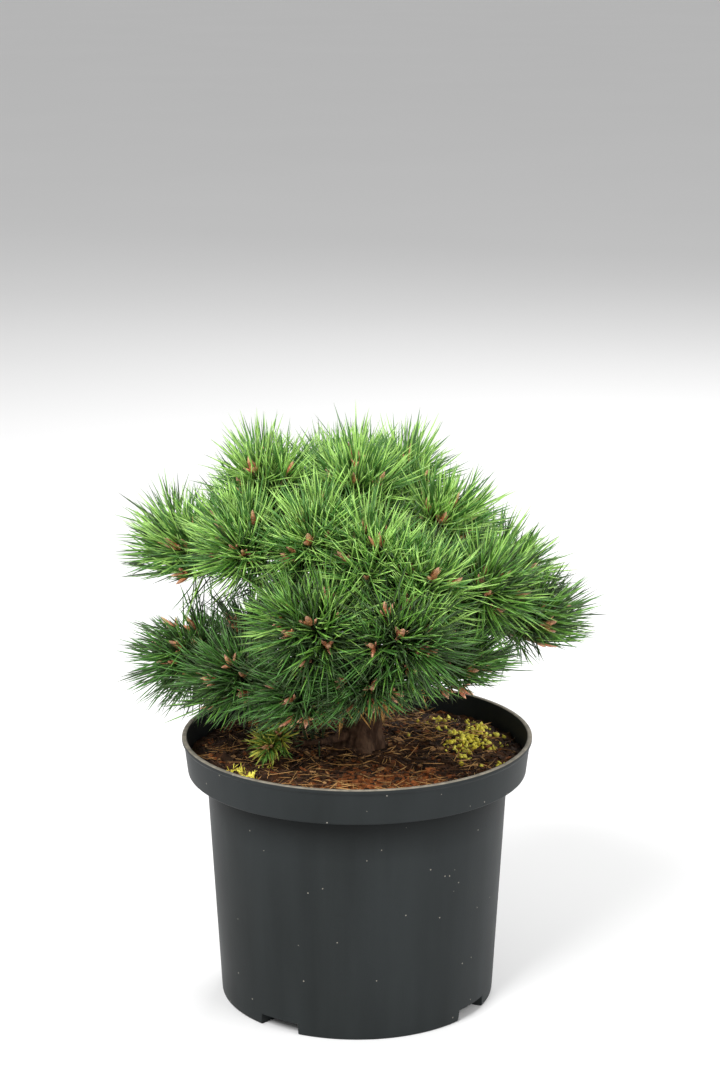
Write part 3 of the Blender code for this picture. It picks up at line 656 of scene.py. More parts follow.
def bark_finish(looks):
    """Young pine bark: grey-brown plates with drifting patches of rust."""
    finish = Finish("pine_bark", 0.90, 0.3)
    fibres = finish.stretched((1.0, 1.0, 0.30))
    plates = finish.drift(dimmed(looks.bark, 0.25), dimmed(looks.bark, 2.6), 330.0, 5.0, fibres)
    rust = finish.drift(plates.outputs["Colour"], (0.085, 0.036, 0.016), 60.0, 1.5)
    finish.bump(finish.noise(420.0, fibres, 7.0), 0.0014, 1.0)
    return finish.base(rust.outputs["Colour"])


def twig_finish():
    """This year's twig: tan, in two tones that drift into each other."""
    finish = Finish("young_twig", 0.75, 0.35)
    tan = finish.drift((0.085, 0.055, 0.028), (0.20, 0.15, 0.065), 240.0, 2.5)
    return finish.base(tan.outputs["Colour"])


def needle_finish(name, light, dark, roughness=0.40):
    """A needle: green with paler lengths, a brown sheath at its foot and a yellowed point."""
    finish = Finish(name, roughness, 0.5)
    along = finish.uv(1)
    body = finish.drift(dark, light, 75.0, 3.0)
    pale = tuple(min(1.0, value * 1.35 + 0.012) for value in light)
    lines = finish.math("MULTIPLY", finish.math("GREATER_THAN", finish.uv(0), 0.5), 0.30)
    striped = finish.mix(lines, body.outputs["Colour"], pale)
    foot = finish.ramp(along, ((0.0, (1, 1, 1)), (0.045, (1, 1, 1)), (0.10, (0, 0, 0)), (1.0, (0, 0, 0))))
    point = finish.ramp(along, ((0.0, (0, 0, 0)), (0.93, (0, 0, 0)), (1.0, (1, 1, 1))))
    footed = finish.mix(finish.math("MULTIPLY", foot, 0.85), striped, (0.105, 0.060, 0.026))
    return finish.base(finish.mix(finish.math("MULTIPLY", point, 0.55), footed, (0.42, 0.40, 0.13)))


def straw_finish(name, light, dark):
    """A dead needle: tan to rust."""
    finish = Finish(name, 0.66, 0.3)
    return finish.base(finish.drift(dark, light, 90.0, 3.0).outputs["Colour"])


def bud_finish():
    """A resinous bud: rust scales with pale waxy edges towards its point."""
    finish = Finish("resin_bud", 0.40, 0.5)
    scales = finish.drift((0.34, 0.080, 0.028), (0.86, 0.36, 0.16), 520.0, 4.2)
    along = finish.uv(1)
    wax = finish.ramp(along, ((0.0, (0, 0, 0)), (0.55, (0.12, 0.12, 0.12)), (1.0, (1, 1, 1))))
    flecks = finish.specks(1300.0, 0.42, 0.45)
    wax = finish.math("MULTIPLY", finish.math("MAXIMUM", wax, flecks), 0.34)
    return finish.base(finish.mix(wax, scales.outputs["Colour"], (0.78, 0.62, 0.50)))


def moss_finish():
    """Moss: yellow-green beads."""
    finish = Finish("moss", 0.62, 0.35)
    beads = finish.drift((0.60, 0.50, 0.018), (1.00, 0.93, 0.16), 160.0, 3.0)
    return finish.base(beads.outputs["Colour"])


def floor_finish():
    """A pale matt floor."""
    finish = Finish("pale_floor", 0.85, 0.2)
    soft = finish.drift((0.80, 0.80, 0.80), (0.83, 0.83, 0.83), 1.5, 1.0)
    return finish.base(soft.outputs["Colour"])


# The plant's plan, by the same rule as its solids

def trunk_centre(height):
    """The trunk's centre at a height: a lean to the front with a slight sway."""
    t = (height - TRUNK_FOOT) / (TRUNK_TIP - TRUNK_FOOT)
    x = TRUNK_FOOT_X + (TRUNK_TIP_X - TRUNK_FOOT_X) * t + TRUNK_SWAY * np.sin(math.pi * 2 * t)
    y = TRUNK_FOOT_Y + (TRUNK_TIP_Y - TRUNK_FOOT_Y) * t * t
    return np.stack(np.broadcast_arrays(x, y, height), axis=-1)


def trunk_radius(height):
    """The trunk's radius at a height, with its root flare at the soil."""
    t = (height - TRUNK_FOOT) / (TRUNK_TIP - TRUNK_FOOT)
    flare = FLARE * np.exp(-(height - TRUNK_FOOT) / FLARE_HEIGHT)
    return TRUNK_FOOT_RADIUS + (TRUNK_TIP_RADIUS - TRUNK_FOOT_RADIUS) * t + flare


def bud_of(mass):
    """Where a mass's leader ends."""
    angle = math.radians(mass.angle)
    return np.array((mass.reach * math.cos(angle), mass.reach * math.sin(angle), mass.height))


def root_of(mass):
    """Where a mass's leader begins."""
    if mass.bough is None:
        return trunk_centre(TRUNK_TIP) + np.array((0.0, 0.0, GAP))
    return bud_of(mass) - compass(mass.angle, mass.rise) * LEADER_LENGTH * mass.size


def bough_curve(mass):
    """Start, bend and end of a mass's bough."""
    start = trunk_centre(mass.bough)
    heading = compass(mass.angle, mass.rise)
    end = root_of(mass) - heading * GAP
    return start, end - heading * np.linalg.norm(end - start) * BOUGH_SWEEP, end


def bough_radius(mass, t):
    """A bough's radius, from its foot in the trunk (0) to its tip (1)."""
    start, _, end = bough_curve(mass)
    foot = BOUGH_FOOT_RADIUS + BOUGH_THICKENING * np.linalg.norm(end - start) * mass.size
    foot = min(foot, trunk_radius(mass.bough) * 0.72)
    return foot + (BOUGH_TIP_RADIUS * math.sqrt(mass.size) - foot) * np.asarray(t) ** 0.8


def soil_height(x, y):
    """The soil's surface: level at the trunk, then falling to the wall in slow waves."""
    radius = np.hypot(x, y)
    edge = COLLAR_TOP_RADIUS - WALL
    fall = np.clip((radius - SOIL_LEVEL_RADIUS) / (edge - SOIL_LEVEL_RADIUS), 0.0, 1.0)
    angle = np.arctan2(y, x)
    wave = np.sin(3 * angle + 0.7) + 0.6 * np.sin(5 * angle + radius * 60)
    return SOIL_TOP - (SOIL_TOP - SOIL_EDGE) * fall ** 1.5 + SOIL_WAVE * wave * np.sin(math.pi * fall)


class Plan:
    """Where everything on the plant is: limbs, each mass's own space, and all its shoots."""

    def __init__(self):
        self.hearts = np.array([root_of(mass) * 0.4 + bud_of(mass) * 0.6 for mass in MASSES])
        self.sizes = np.array([mass.size for mass in MASSES])
        starts, ends, radii = [], [], []
        heights = np.linspace(TRUNK_FOOT, TRUNK_TIP, LIMB_STEPS * 2)
        for low, high in zip(heights[:-1], heights[1:]):
            starts.append(trunk_centre(low))
            ends.append(trunk_centre(high))
            radii.append(trunk_radius(low))
        for mass in MASSES:
            if mass.bough is None:
                continue
            curve = bough_curve(mass)
            steps = np.linspace(0.0, 1.0, LIMB_STEPS)
            line = curve_point(*curve, steps)
            starts += list(line[:-1])
            ends += list(line[1:])
            radii += list(bough_radius(mass, steps[:-1]))
        self.limbs = np.array(starts), np.array(ends), np.array(radii)

    def in_space(self, index, points, room):
        """Which points are nearer to the mass's heart than to any other's."""
        here = self.hearts[index]
        apart = np.delete(self.hearts, index, axis=0) - here
        span = np.linalg.norm(apart, axis=1)
        share = self.sizes[index] / (self.sizes[index] + np.delete(self.sizes, index))
        reach = (points - here) @ apart.T / span
        return np.all(reach < span * share - room - CELL_ROOM, axis=1)

    def clear_of_limbs(self, points, room):
        """Which points lie outside every limb."""
        free = np.ones(len(points), dtype=bool)
        for start, end, radius in zip(*self.limbs):
            line = end - start
            t = np.clip((points - start) @ line / (line @ line), 0.0, 1.0)
            away = points - start - t[:, None] * line
            free &= np.einsum("ij,ij->i", away, away) > (radius + room + LIMB_ROOM) ** 2
        return free

    def clear_of_pot(self, points, room):
        """Which points clear the pot's rim and wall and the soil."""
        radius = np.hypot(points[:, 0], points[:, 1])
        room = room + POT_ROOM
        outside = (radius > LIP_RADIUS + room) | (points[:, 2] > POT_HEIGHT + room)
        inside = radius < COLLAR_FOOT_RADIUS - WALL - room
        return outside | (inside & (points[:, 2] > soil_height(points[:, 0], points[:, 1]) + room))

    def free_sky(self, points, room):
        """Which points stay out of the open sky between the left tiers."""
        elsewhere = (points[:, 0] > SKY_RIGHT) | (np.abs(points[:, 1]) > SKY_DEPTH)
        return elsewhere | (np.abs(points[:, 2] - SKY_HEIGHT - SKY_SLOPE * points[:, 1]) > SKY_HALF + room)

    def above_skirt(self, index, points):
        """Which points stay above the crown's lower edge; the shoot by the soil is free of it."""
        if MASSES[index].name == SKIRT_FREE:
            return np.ones(len(points), dtype=bool)
        skirt = SKIRT_HEIGHT + SKIRT_BOW * (points[:, 0] - SKIRT_MIDDLE) ** 2
        return points[:, 2] > skirt + np.where(points[:, 1] < 0, -SKIRT_FRONT, SKIRT_BACK) * points[:, 1]

    def allows_shoot(self, index, shoot, extra):
        """Whether a shoot finds room, with its space made larger by extra."""
        beyond = shoot.end + unit(shoot.end - shoot.bend) * BUD_ROOM
        middle = curve_point(*shoot[:3], 0.4)
        points = middle + (beyond - middle) * np.array((0.0, 0.25, 0.5, 0.75, 1.0))[:, None]
        fits = self.in_space(index, points[1:], CORE_WIDTH - extra)
        fits &= self.clear_of_pot(points[1:], CORE_WIDTH) & self.free_sky(points[1:], CORE_WIDTH)
        fits &= self.above_skirt(index, points[1:])
        return bool(np.all(fits)) and bool(np.all(self.clear_of_limbs(points, CORE_WIDTH)))


def bent_shoot(parent, t, turn, lean, length, order):
    """A shoot that leaves another part of the way up it and bends up."""
    start = curve_point(*parent[:3], t)
    heading = curve_heading(*parent[:3], t)
    across, over = cross_axes(heading)
    turn, lean = math.radians(turn), math.radians(lean)
    away = heading * math.cos(lean) + (across * math.cos(turn) + over * math.sin(turn)) * math.sin(lean)
    later = unit(away + heading * SIDE_BEND + UP * UPWARD)
    bend = start + away * length * 0.5
    return Shoot(start, bend, bend + later * length * 0.5, order)


def side_shoot(mass, leader, number, rng):
    """One side shoot, at a golden-angle step round its leader."""
    t = SIDE_FIRST + SIDE_SPAN * number / max(1, mass.side_shoots - 1)
    turn = GOLDEN_ANGLE * number + mass.angle + rng.uniform(-15, 15)
    lean = SIDE_LEAN + rng.uniform(-SIDE_LEAN_SPREAD, SIDE_LEAN_SPREAD)
    length = LEADER_LENGTH * mass.size * (SIDE_LENGTH + rng.uniform(-SIDE_SPREAD, SIDE_SPREAD))
    return bent_shoot(leader, t, turn, lean, length, 1)


def fine_shoot(mass, parent, number, rng):
    """A finer shoot, shorter and turned further round."""
    t = rng.uniform(*FINE_PLACES)
    turn = GOLDEN_ANGLE * number + rng.uniform(0, 360)
    lean = rng.uniform(*FINE_LEANS)
    return bent_shoot(parent, t, turn, lean, LEADER_LENGTH * mass.size * rng.uniform(*FINE_LENGTHS), 2)


def shortened(shoot, share):
    """The same shoot at a share of its length."""
    bend = shoot.start + (shoot.bend - shoot.start) * share
    end = shoot.start + (shoot.end - shoot.start) * share
    return Shoot(shoot.start, bend, end, shoot.order)


def fitted_shoot(plan, index, wanted, extra):
    """The shoot at the longest length that finds room, or nothing."""
    for cut in range(SHORTENINGS):
        shoot = shortened(wanted, SHORTER ** cut)
        if plan.allows_shoot(index, shoot, extra):
            return shoot
    return None


def shoots_of(plan, index, fine_count, overlap):
    """A mass's leader, its side shoots, and the finer shoots on them."""
    mass = MASSES[index]
    rng = random.Random(SHOOT_SEED + index)
    start, end = root_of(mass), bud_of(mass)
    leader = Shoot(start, (start + end) / 2 - UP * LEADER_SAG * LEADER_LENGTH * mass.size, end, 0)
    shoots = [leader]
    for number in range(mass.side_shoots):
        shoot = fitted_shoot(plan, index, side_shoot(mass, leader, number, rng), 0.0)
        if shoot:
            shoots.append(shoot)
    finer = random.Random(FINE_SEED + index)
    for number in range(fine_count):
        shoot = fitted_shoot(plan, index, fine_shoot(mass, leader, number, finer), overlap)
        if shoot:
            shoots.append(shoot)
    return shoots


# Pieces

def profile_radius(height):
    """The pot's outer radius on its body, by height."""
    shoulder = POT_HEIGHT - COLLAR_HEIGHT
    return FOOT_RADIUS + (SHOULDER_RADIUS - FOOT_RADIUS) * np.clip(height / shoulder, 0, 1)


def rounded(corners, steps=4):
    """A line through corners given as (radius, height, rounding), its corners cut by arcs."""
    line = []
    last = len(corners) - 1
    for number, (radius, height, size) in enumerate(corners):
        here = np.array((radius, height))
        if number in (0, last) or size == 0:
            line.append(here)
            continue
        before = np.array(corners[number - 1][:2])
        after = np.array(corners[number + 1][:2])
        enter = here + unit(before - here) * size
        leave = here + unit(after - here) * size
        for t in np.linspace(0, 1, steps):
            line.append(enter * (1 - t) ** 2 + here * 2 * t * (1 - t) + leave * t ** 2)
    return np.array(line)


def make_pot(looks):
    """The pot: a rounded profile turned about Z, its foot lifted into a tunnel at each drain."""
    shoulder = POT_HEIGHT - COLLAR_HEIGHT
    lip = POT_HEIGHT - LIP_HEIGHT
    inner = COLLAR_TOP_RADIUS - WALL
    below = rounded([(0.0, 0.0, 0), (DRAIN_INNER_RADIUS - 0.0004, 0.0, 0),
                     (DRAIN_INNER_RADIUS + 0.0004, 0.0, 0), (FOOT_RADIUS - 0.004, 0.0, 0),
                     (FOOT_RADIUS, 0.0, 0.0014), (profile_radius(DRAIN_HEIGHT), DRAIN_HEIGHT, 0)])
    heights = np.linspace(DRAIN_HEIGHT + 0.001, shoulder - 0.002, 16)
    wall = np.stack((profile_radius(heights), heights), axis=-1)
    above = rounded([(float(profile_radius(shoulder - 0.001)), shoulder - 0.001, 0),
                     (SHOULDER_RADIUS, shoulder, 0.0008), (COLLAR_FOOT_RADIUS, shoulder, 0.0012),
                     (COLLAR_TOP_RADIUS, lip - 0.0011, 0.0009), (LIP_RADIUS, lip, 0.0007),
                     (LIP_RADIUS, POT_HEIGHT, 0.0009), (inner - 0.0002, POT_HEIGHT, 0.0009),
                     (COLLAR_FOOT_RADIUS - WALL, shoulder + WALL, 0.0008),
                     (SHOULDER_RADIUS - WALL, shoulder + WALL, 0), (FOOT_RADIUS - WALL, WALL, 0),
                     (DRAIN_INNER_RADIUS - 0.002, WALL, 0), (0.0, WALL, 0)])
    profile = np.concatenate((below, wall, above))
    turns = list(np.linspace(0, 360, POT_COLUMNS, endpoint=False))
    half = math.degrees(DRAIN_WIDTH / 2 / FOOT_RADIUS)
    middles = [270.0 + DRAIN_FIRST_ANGLE + 360.0 * number / DRAIN_COUNT for number in range(DRAIN_COUNT)]
    for middle in middles:
        turns += [(middle + side * (half + step)) % 360 for side in (-1, 1) for step in (-0.25, 0.25)]
    turns = np.sort(np.array(turns))
    away = np.min([np.abs((turns - middle + 180) % 360 - 180) for middle in middles], axis=0)
    in_drain = away < half
    rows = profile[1:-1]
    radius = np.repeat(rows[:, :1], len(turns), axis=1)
    height = np.repeat(rows[:, 1:], len(turns), axis=1)
    outer_rows = np.arange(len(rows)) < len(below) - 1
    under = outer_rows[:, None] & in_drain[None, :] & (radius > DRAIN_INNER_RADIUS) & (height < DRAIN_HEIGHT)
    height = np.where(under, DRAIN_HEIGHT - 0.02 * (DRAIN_HEIGHT - height), height)
    inside = (np.arange(len(rows)) > len(rows) - 3)[:, None] & in_drain[None, :]
    inside &= radius > DRAIN_INNER_RADIUS - 0.003
    height = np.where(inside, DRAIN_HEIGHT + WALL, height)
    angle = np.radians(turns)
    points = np.stack((radius * np.cos(angle), radius * np.sin(angle), height), axis=-1).reshape(-1, 3)
    points = np.concatenate((points, [(0, 0, 0), (0, 0, WALL)]))
    count = len(turns)
    first = np.arange(count)
    last = first + (len(rows) - 1) * count
    caps = np.concatenate((fan(len(points) - 2, first[::-1]), fan(len(points) - 1, last)))
    quads = grid_quads(len(rows), count)
    piece = add_piece("pot_shell", points, quads, caps, [pot_plastic(looks)], "pot_plastic")
    piece.data.set_sharp_from_angle(angle=math.radians(SHARP))
    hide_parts("pot")


def soil_relief(points):
    """Lumps and grains of the soil, above its mean surface."""
    lumps = noise(points, 0.013, 1) * 0.0016 + noise(points, 0.0055, 2) * 0.0012
    return lumps + noise(points, 0.0024, 3) * 0.0008 + noise(points, 0.0012, 4) * 0.0004


def make_soil(looks):
    """The soil: a polar grid of heights, closed by a skirt down to the pot's floor."""
    slope = (COLLAR_TOP_RADIUS - COLLAR_FOOT_RADIUS) / (COLLAR_HEIGHT - WALL)
    shoulder = POT_HEIGHT - COLLAR_HEIGHT + WALL + GAP
    edge = COLLAR_FOOT_RADIUS - WALL - GAP + slope * (SOIL_EDGE - shoulder)
    columns = SOIL_COLUMNS
    radii = edge * np.linspace(0.008, 1.0, SOIL_ROWS) ** 0.9
    angle = np.linspace(0, math.tau, columns, endpoint=False)
    x = radii[:, None] * np.cos(angle)
    y = radii[:, None] * np.sin(angle)
    flat = np.stack((x, y, np.zeros_like(x)), axis=-1).reshape(-1, 3)
    z = soil_height(x, y) + soil_relief(flat).reshape(x.shape)
    top = np.stack((x, y, z), axis=-1)
    skirt = []
    foot = DRAIN_HEIGHT + 2 * WALL
    for radius, height in ((COLLAR_FOOT_RADIUS, shoulder), (SHOULDER_RADIUS, shoulder), (FOOT_RADIUS, foot)):
        radius = radius - WALL - GAP
        level = np.full(columns, height)
        skirt.append(np.stack((radius * np.cos(angle), radius * np.sin(angle), level), axis=-1))
    points = np.concatenate((top, np.array(skirt))).reshape(-1, 3)
    rows = len(radii) + len(skirt)
    points = np.concatenate((points, [(0, 0, float(z[0].mean())), (0, 0, foot)]))
    first = np.arange(columns)
    last = (first + (rows - 1) * columns)[::-1]
    caps = np.concatenate((fan(len(points) - 2, first), fan(len(points) - 1, last)))
    quads = grid_quads(rows, columns)[:, ::-1]
    piece = add_piece("soil_surface", points, quads, caps, [soil_finish(looks)], "peat_and_bark")
    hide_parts("soil")


def soil_spots(rng, count, limit=0.103):
    """Random places on the soil, clear of the trunk's foot."""
    angle = rng.uniform(0, math.tau, count)
    radius = limit * np.sqrt(rng.uniform(0.036, 1.0, count))
    x, y = radius * np.cos(angle), radius * np.sin(angle)
    flat = np.stack((x, y, np.zeros(count)), axis=-1)
    return np.stack((x, y, soil_height(x, y) + soil_relief(flat)), axis=-1)


def rust_spots(rng, count):
    """Random places on the soil round the rust-coloured patch."""
    x = rng.normal(RUST_PATCH[0], RUST_SIZE[0] * 0.5, count)
    y = rng.normal(RUST_PATCH[1], RUST_SIZE[1] * 0.4, count)
    inward = np.minimum(1.0, SPOT_LIMIT / np.hypot(x, y))
    x, y = x * inward, y * inward
    flat = np.stack((x, y, np.zeros(count)), axis=-1)
    return np.stack((x, y, soil_height(x, y) + soil_relief(flat)), axis=-1)


def make_chips():
    """Chips of bark on the soil: small uneven slabs in three tones."""
    rng = np.random.default_rng(CHIP_SEED)
    finishes = (chip_finish("bark_chip_dark", (0.055, 0.026, 0.013), (0.014, 0.007, 0.004)),
                chip_finish("bark_chip_red", (0.34, 0.105, 0.026), (0.10, 0.030, 0.010)),
                chip_finish("bark_chip_pale", (0.52, 0.29, 0.12), (0.20, 0.10, 0.04)))
    corners = np.array(list(itertools.product((-1, 1), repeat=3)), dtype=float)
    faces = np.array([(0, 1, 3, 2), (4, 6, 7, 5), (0, 4, 5, 1), (2, 3, 7, 6), (0, 2, 6, 4), (1, 5, 7, 3)])
    parts = Parts()
    for tone, count in enumerate(CHIP_COUNTS):
        spots = soil_spots(rng, count)
        if tone == 1:
            spots = np.concatenate((spots[:count // 3], rust_spots(rng, count - count // 3)))
        long = rng.lognormal(math.log(CHIP_LENGTH), 0.42, count).clip(0.0006, 0.0040)
        wide, thick = rng.uniform(0.35, 0.8, count), rng.uniform(0.12, 0.34, count)
        sizes = np.stack((long, long * wide, long * thick), axis=-1)
        axes = random_axes(rng, count, 0.32)
        points, (quads,) = copies(corners, (faces,), spots + UP * sizes[:, 2:] * 0.5, axes, sizes)
        points = points + rng.normal(0, 0.16, points.shape) * np.repeat(sizes[:, 1:2], 8, axis=0)
        parts.add(points, quads, np.zeros((0, 3)), slot=tone)
    parts.piece("bark_chips", finishes, "peat_and_bark", smooth=False)


def make_litter():
    """Dead needles and fine roots lying on the soil."""
    rng = np.random.default_rng(LITTER_SEED)
    finishes = (straw_finish("litter_tan", (0.72, 0.42, 0.15), (0.36, 0.16, 0.05)),
                straw_finish("litter_brown", (0.17, 0.085, 0.040), (0.060, 0.030, 0.016)))
    parts = Parts()
    for tone, count in enumerate(LITTER_COUNTS):
        spots = soil_spots(rng, count, 0.098)
        angle = rng.uniform(0, math.tau, count)
        rise = rng.normal(0.03, 0.10, count)
        headings = unit(np.stack((np.cos(angle), np.sin(angle), rise), axis=-1))
        sides = unit(np.cross(headings, unit(UP + rng.normal(0, 0.3, (count, 3)))))
        lengths = rng.uniform(0.004, 0.019, count)
        ends = spots + headings * lengths[:, None]
        inside = np.hypot(ends[:, 0], ends[:, 1]) < 0.104
        lift = soil_height(ends[:, 0], ends[:, 1]) + LITTER_LIFT - ends[:, 2]
        headings = unit(headings + UP * (np.maximum(lift, 0) / lengths)[:, None])
        needles = (spots + UP * LITTER_LIFT, headings, sides, lengths,
                   rng.uniform(0.0004, 0.0009, count), rng.normal(0, 0.24, count))
        parts.add(*needle_shapes(*split_needles(needles, inside)[0]), slot=tone)
    parts.piece("needle_litter", finishes, "peat_and_bark")


def make_moss():
    """Moss: beads heaped in two patches, with fine leaves standing between them."""
    rng = np.random.default_rng(MOSS_SEED)
    rows = np.array((0.35, 0.8, 1.0, 0.75, 0.3))
    turn = np.linspace(0, math.tau, 6, endpoint=False)
    rings = []
    for n, share in enumerate(rows):
        level = np.full(6, n * 0.5 - 1.0)
        rings.append(np.stack((share * np.cos(turn + n), share * np.sin(turn + n), level), axis=-1))
    bead = np.concatenate(rings + [np.array(((0, 0, -1.2), (0, 0, 1.3)))])
    quads = grid_quads(5, 6)
    caps = np.concatenate((fan(30, np.arange(6)[::-1]), fan(31, np.arange(6) + 24)))
    places = []
    for middle, spread, count in MOSS_PATCHES:
        x = rng.normal(middle[0], spread[0] * 0.6, count)
        y = rng.normal(middle[1], spread[1] * 0.6, count)
        patch = np.stack((x, y, np.zeros(count)), axis=-1)
        keep = (np.hypot(x, y) < 0.102) & (noise(patch, 0.011, 7) > -0.25)
        heap = rng.uniform(0.0002, 0.0016, count)
        places.append(np.stack((x, y, soil_height(x, y) + soil_relief(patch) + heap), axis=-1)[keep])
    places = np.concatenate(places)
    count = len(places)
    sizes = rng.uniform(0.0007, 0.0018, (count, 1)) * rng.uniform(0.8, 1.25, (count, 3))
    points, (quads, caps) = copies(bead, (quads, caps), places, random_axes(rng, count, 0.4), sizes)
    parts = Parts()
    parts.add(points, quads, caps)
    left = places[places[:, 0] < 0]
    spots = np.repeat(left, 2, axis=0) + rng.normal(0, 0.0012, (len(left) * 2, 3))
    headings = unit(UP + rng.normal(0, 0.6, spots.shape))
    sides = unit(np.cross(headings, rng.normal(0, 1, spots.shape)))
    lengths = rng.uniform(0.002, 0.0042, len(spots))
    widths, bends = np.full(len(spots), 0.0008), np.full(len(spots), 0.2)
    parts.add(*needle_shapes(spots, headings, sides, lengths, widths, bends))
    parts.piece("moss", [moss_finish()], "peat_and_bark")


def bark_relief(depth, seed):
    """Creases between upright plates: the fold of a noise that is long in Z."""
    def relief(points):
        stretched = points * np.array((1.0, 1.0, 0.42))
        plates = 1 - np.abs(noise(stretched, 0.0042, seed)) * 2
        fine = noise(points, 0.0017, seed + 1)
        return depth * (-0.9 * np.clip(plates, 0, 1) ** 2 + 0.35 * fine + 0.3)
    return relief


def make_trunk(bark):
    """The trunk: circles up its leaning centre line, with deep bark at the foot."""
    heights = TRUNK_FOOT - 0.002 + (TRUNK_TIP + 0.002 - TRUNK_FOOT) * np.linspace(0, 1, TRUNK_ROWS) ** 1.1
    above = np.maximum(heights, TRUNK_FOOT)
    centres = trunk_centre(heights)
    radii = trunk_radius(above)
    deep = bark_relief(1.0, 31)
    fading = 0.0016 - 0.0011 * ease(heights, TRUNK_FOOT, TRUNK_FOOT + 0.09)

    def relief(points):
        return deep(points) * np.repeat(fading, TRUNK_SIDES)

    points, quads, caps, uv = tube(centres, radii - fading * 0.3, TRUNK_SIDES, relief)
    flare = np.arctan2(points[:, 1] - TRUNK_FOOT_Y, points[:, 0] - TRUNK_FOOT_X)
    lobes = np.cos(flare * 5 + 0.6) * np.exp(-(points[:, 2] - TRUNK_FOOT) / (FLARE_HEIGHT * 0.8)) * 0.10
    points[:, :2] += (points[:, :2] - (TRUNK_FOOT_X, TRUNK_FOOT_Y)) * np.clip(lobes, -0.1, 0.12)[:, None]
    piece = add_piece("trunk_bark", points, quads, caps, [bark], "pine_bark", uv)
    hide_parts("trunk")


def make_boughs(bark):
    """The boughs: tapering limbs with finer bark, swollen where they leave the trunk."""
    parts = Parts()
    for number, mass in enumerate(MASSES):
        if mass.bough is None:
            continue
        t = np.linspace(0.0, 1.0, BOUGH_ROWS)
        curve = bough_curve(mass)
        centres = curve_point(*curve, t)
        length = np.linalg.norm(curve[2] - curve[0])
        leave = trunk_radius(mass.bough)
        swelling = 0.0011 * np.exp(-np.maximum(t * length - leave, 0) / 0.005)
        wobble = np.stack([noise(centres, 0.018, 60 + number * 3 + axis) for axis in range(3)], axis=-1)
        centres = centres + wobble * 0.0011 * np.sin(math.pi * t)[:, None]
        radii = bough_radius(mass, t) + swelling - 0.00015
        parts.add(*tube(centres, radii, BOUGH_SIDES, bark_relief(0.00055, 41 + number)))
    piece = parts.piece("bough_bark", [bark], "pine_bark")
    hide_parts(*("bough_" + mass.name for mass in MASSES if mass.bough is not None))


def clothing(shoot, mass, rng, count, first, leans, length, width, droop=0.0):
    """Paired needles round a shoot: roots, headings, bend sides, lengths, widths and bends.

    Pairs stand at golden-angle steps from the share first of the shoot to its end, leaning
    from the first to the second lean, and the two of a pair part by a few degrees.
    """
    t = first + (TIP_SHARE - first) * (np.arange(count) + rng.uniform(0, 1, count)) / count
    centre = curve_point(*shoot[:3], t)
    heading = curve_heading(*shoot[:3], t)
    helper = np.eye(3)[int(np.argmin(np.abs(unit(shoot.end - shoot.start))))]
    across = unit(np.cross(helper, heading))
    over = np.cross(heading, across)
    turn = np.radians(GOLDEN_ANGLE * np.arange(count)) + rng.uniform(0, math.tau)
    share = (t - first) / (TIP_SHARE - first)
    lean = leans[0] + (leans[1] - leans[0]) * share + rng.normal(0, LEAN_SPREAD, count)
    pairs = []
    for part in (-1, 1):
        angle = turn + rng.normal(0, 0.12, count) + part * rng.uniform(0.05, 0.20, count)
        tilt = np.radians(np.clip(lean + part * rng.uniform(0, 5, count), 6, 96))
        out = across * np.cos(angle)[:, None] + over * np.sin(angle)[:, None]
        aim = heading * np.cos(tilt)[:, None] + out * np.sin(tilt)[:, None] - UP * droop
        aim = unit(aim)
        side = heading - aim * np.sum(heading * aim, axis=1, keepdims=True)
        side = unit(side + rng.normal(0, 0.35, side.shape))
        side = unit(side - aim * np.sum(side * aim, axis=1, keepdims=True))
        long = length * mass.size ** 0.8 * rng.uniform(0.76, 1.08, count) * (1 - 0.10 * share ** 3)
        pairs.append((centre + out * 0.0010, aim, side, long, width * rng.uniform(0.82, 1.18, count),
                      rng.uniform(-0.10, 0.20, count)))
    return [np.concatenate(values) for values in zip(*pairs)]


def kept_needles(plan, index, needles, rng):
    """The needles that clear the limbs, the pot, the crown's lower edge and the open sky.

    A share of them may still cross the inner part of the sky, where the plant has twigs.
    """
    roots, aims, sides, lengths, _, bends = needles
    free = np.ones(len(roots), dtype=bool)
    stray = rng.uniform(0, 1, len(roots)) < STRAY_SHARE
    for t in (0.4, 0.7, 1.0):
        points = roots + lengths[:, None] * (t * aims + (bends * t * t)[:, None] * sides)
        free &= plan.clear_of_limbs(points, 0.0) & plan.clear_of_pot(points, 0.0)
        free &= plan.above_skirt(index, points)
        free &= plan.free_sky(points, 0.0) | (stray & (points[:, 0] > STRAY_RIGHT))
    return [values[free] for values in needles]


def split_needles(needles, chosen):
    """The needles that are chosen, and the rest."""
    return [values[chosen] for values in needles], [values[~chosen] for values in needles]


def tone_of(shoot, rng):
    """Which of three greens a shoot wears by its height: bright high up, deep low down, the lower greens
    partly painted shade.
    """
    light = ease(shoot.end[2], 0.215, 0.335) + rng.normal(0, 0.22)
    return 0 if light > 0.62 else 1 if light > 0.22 else 2


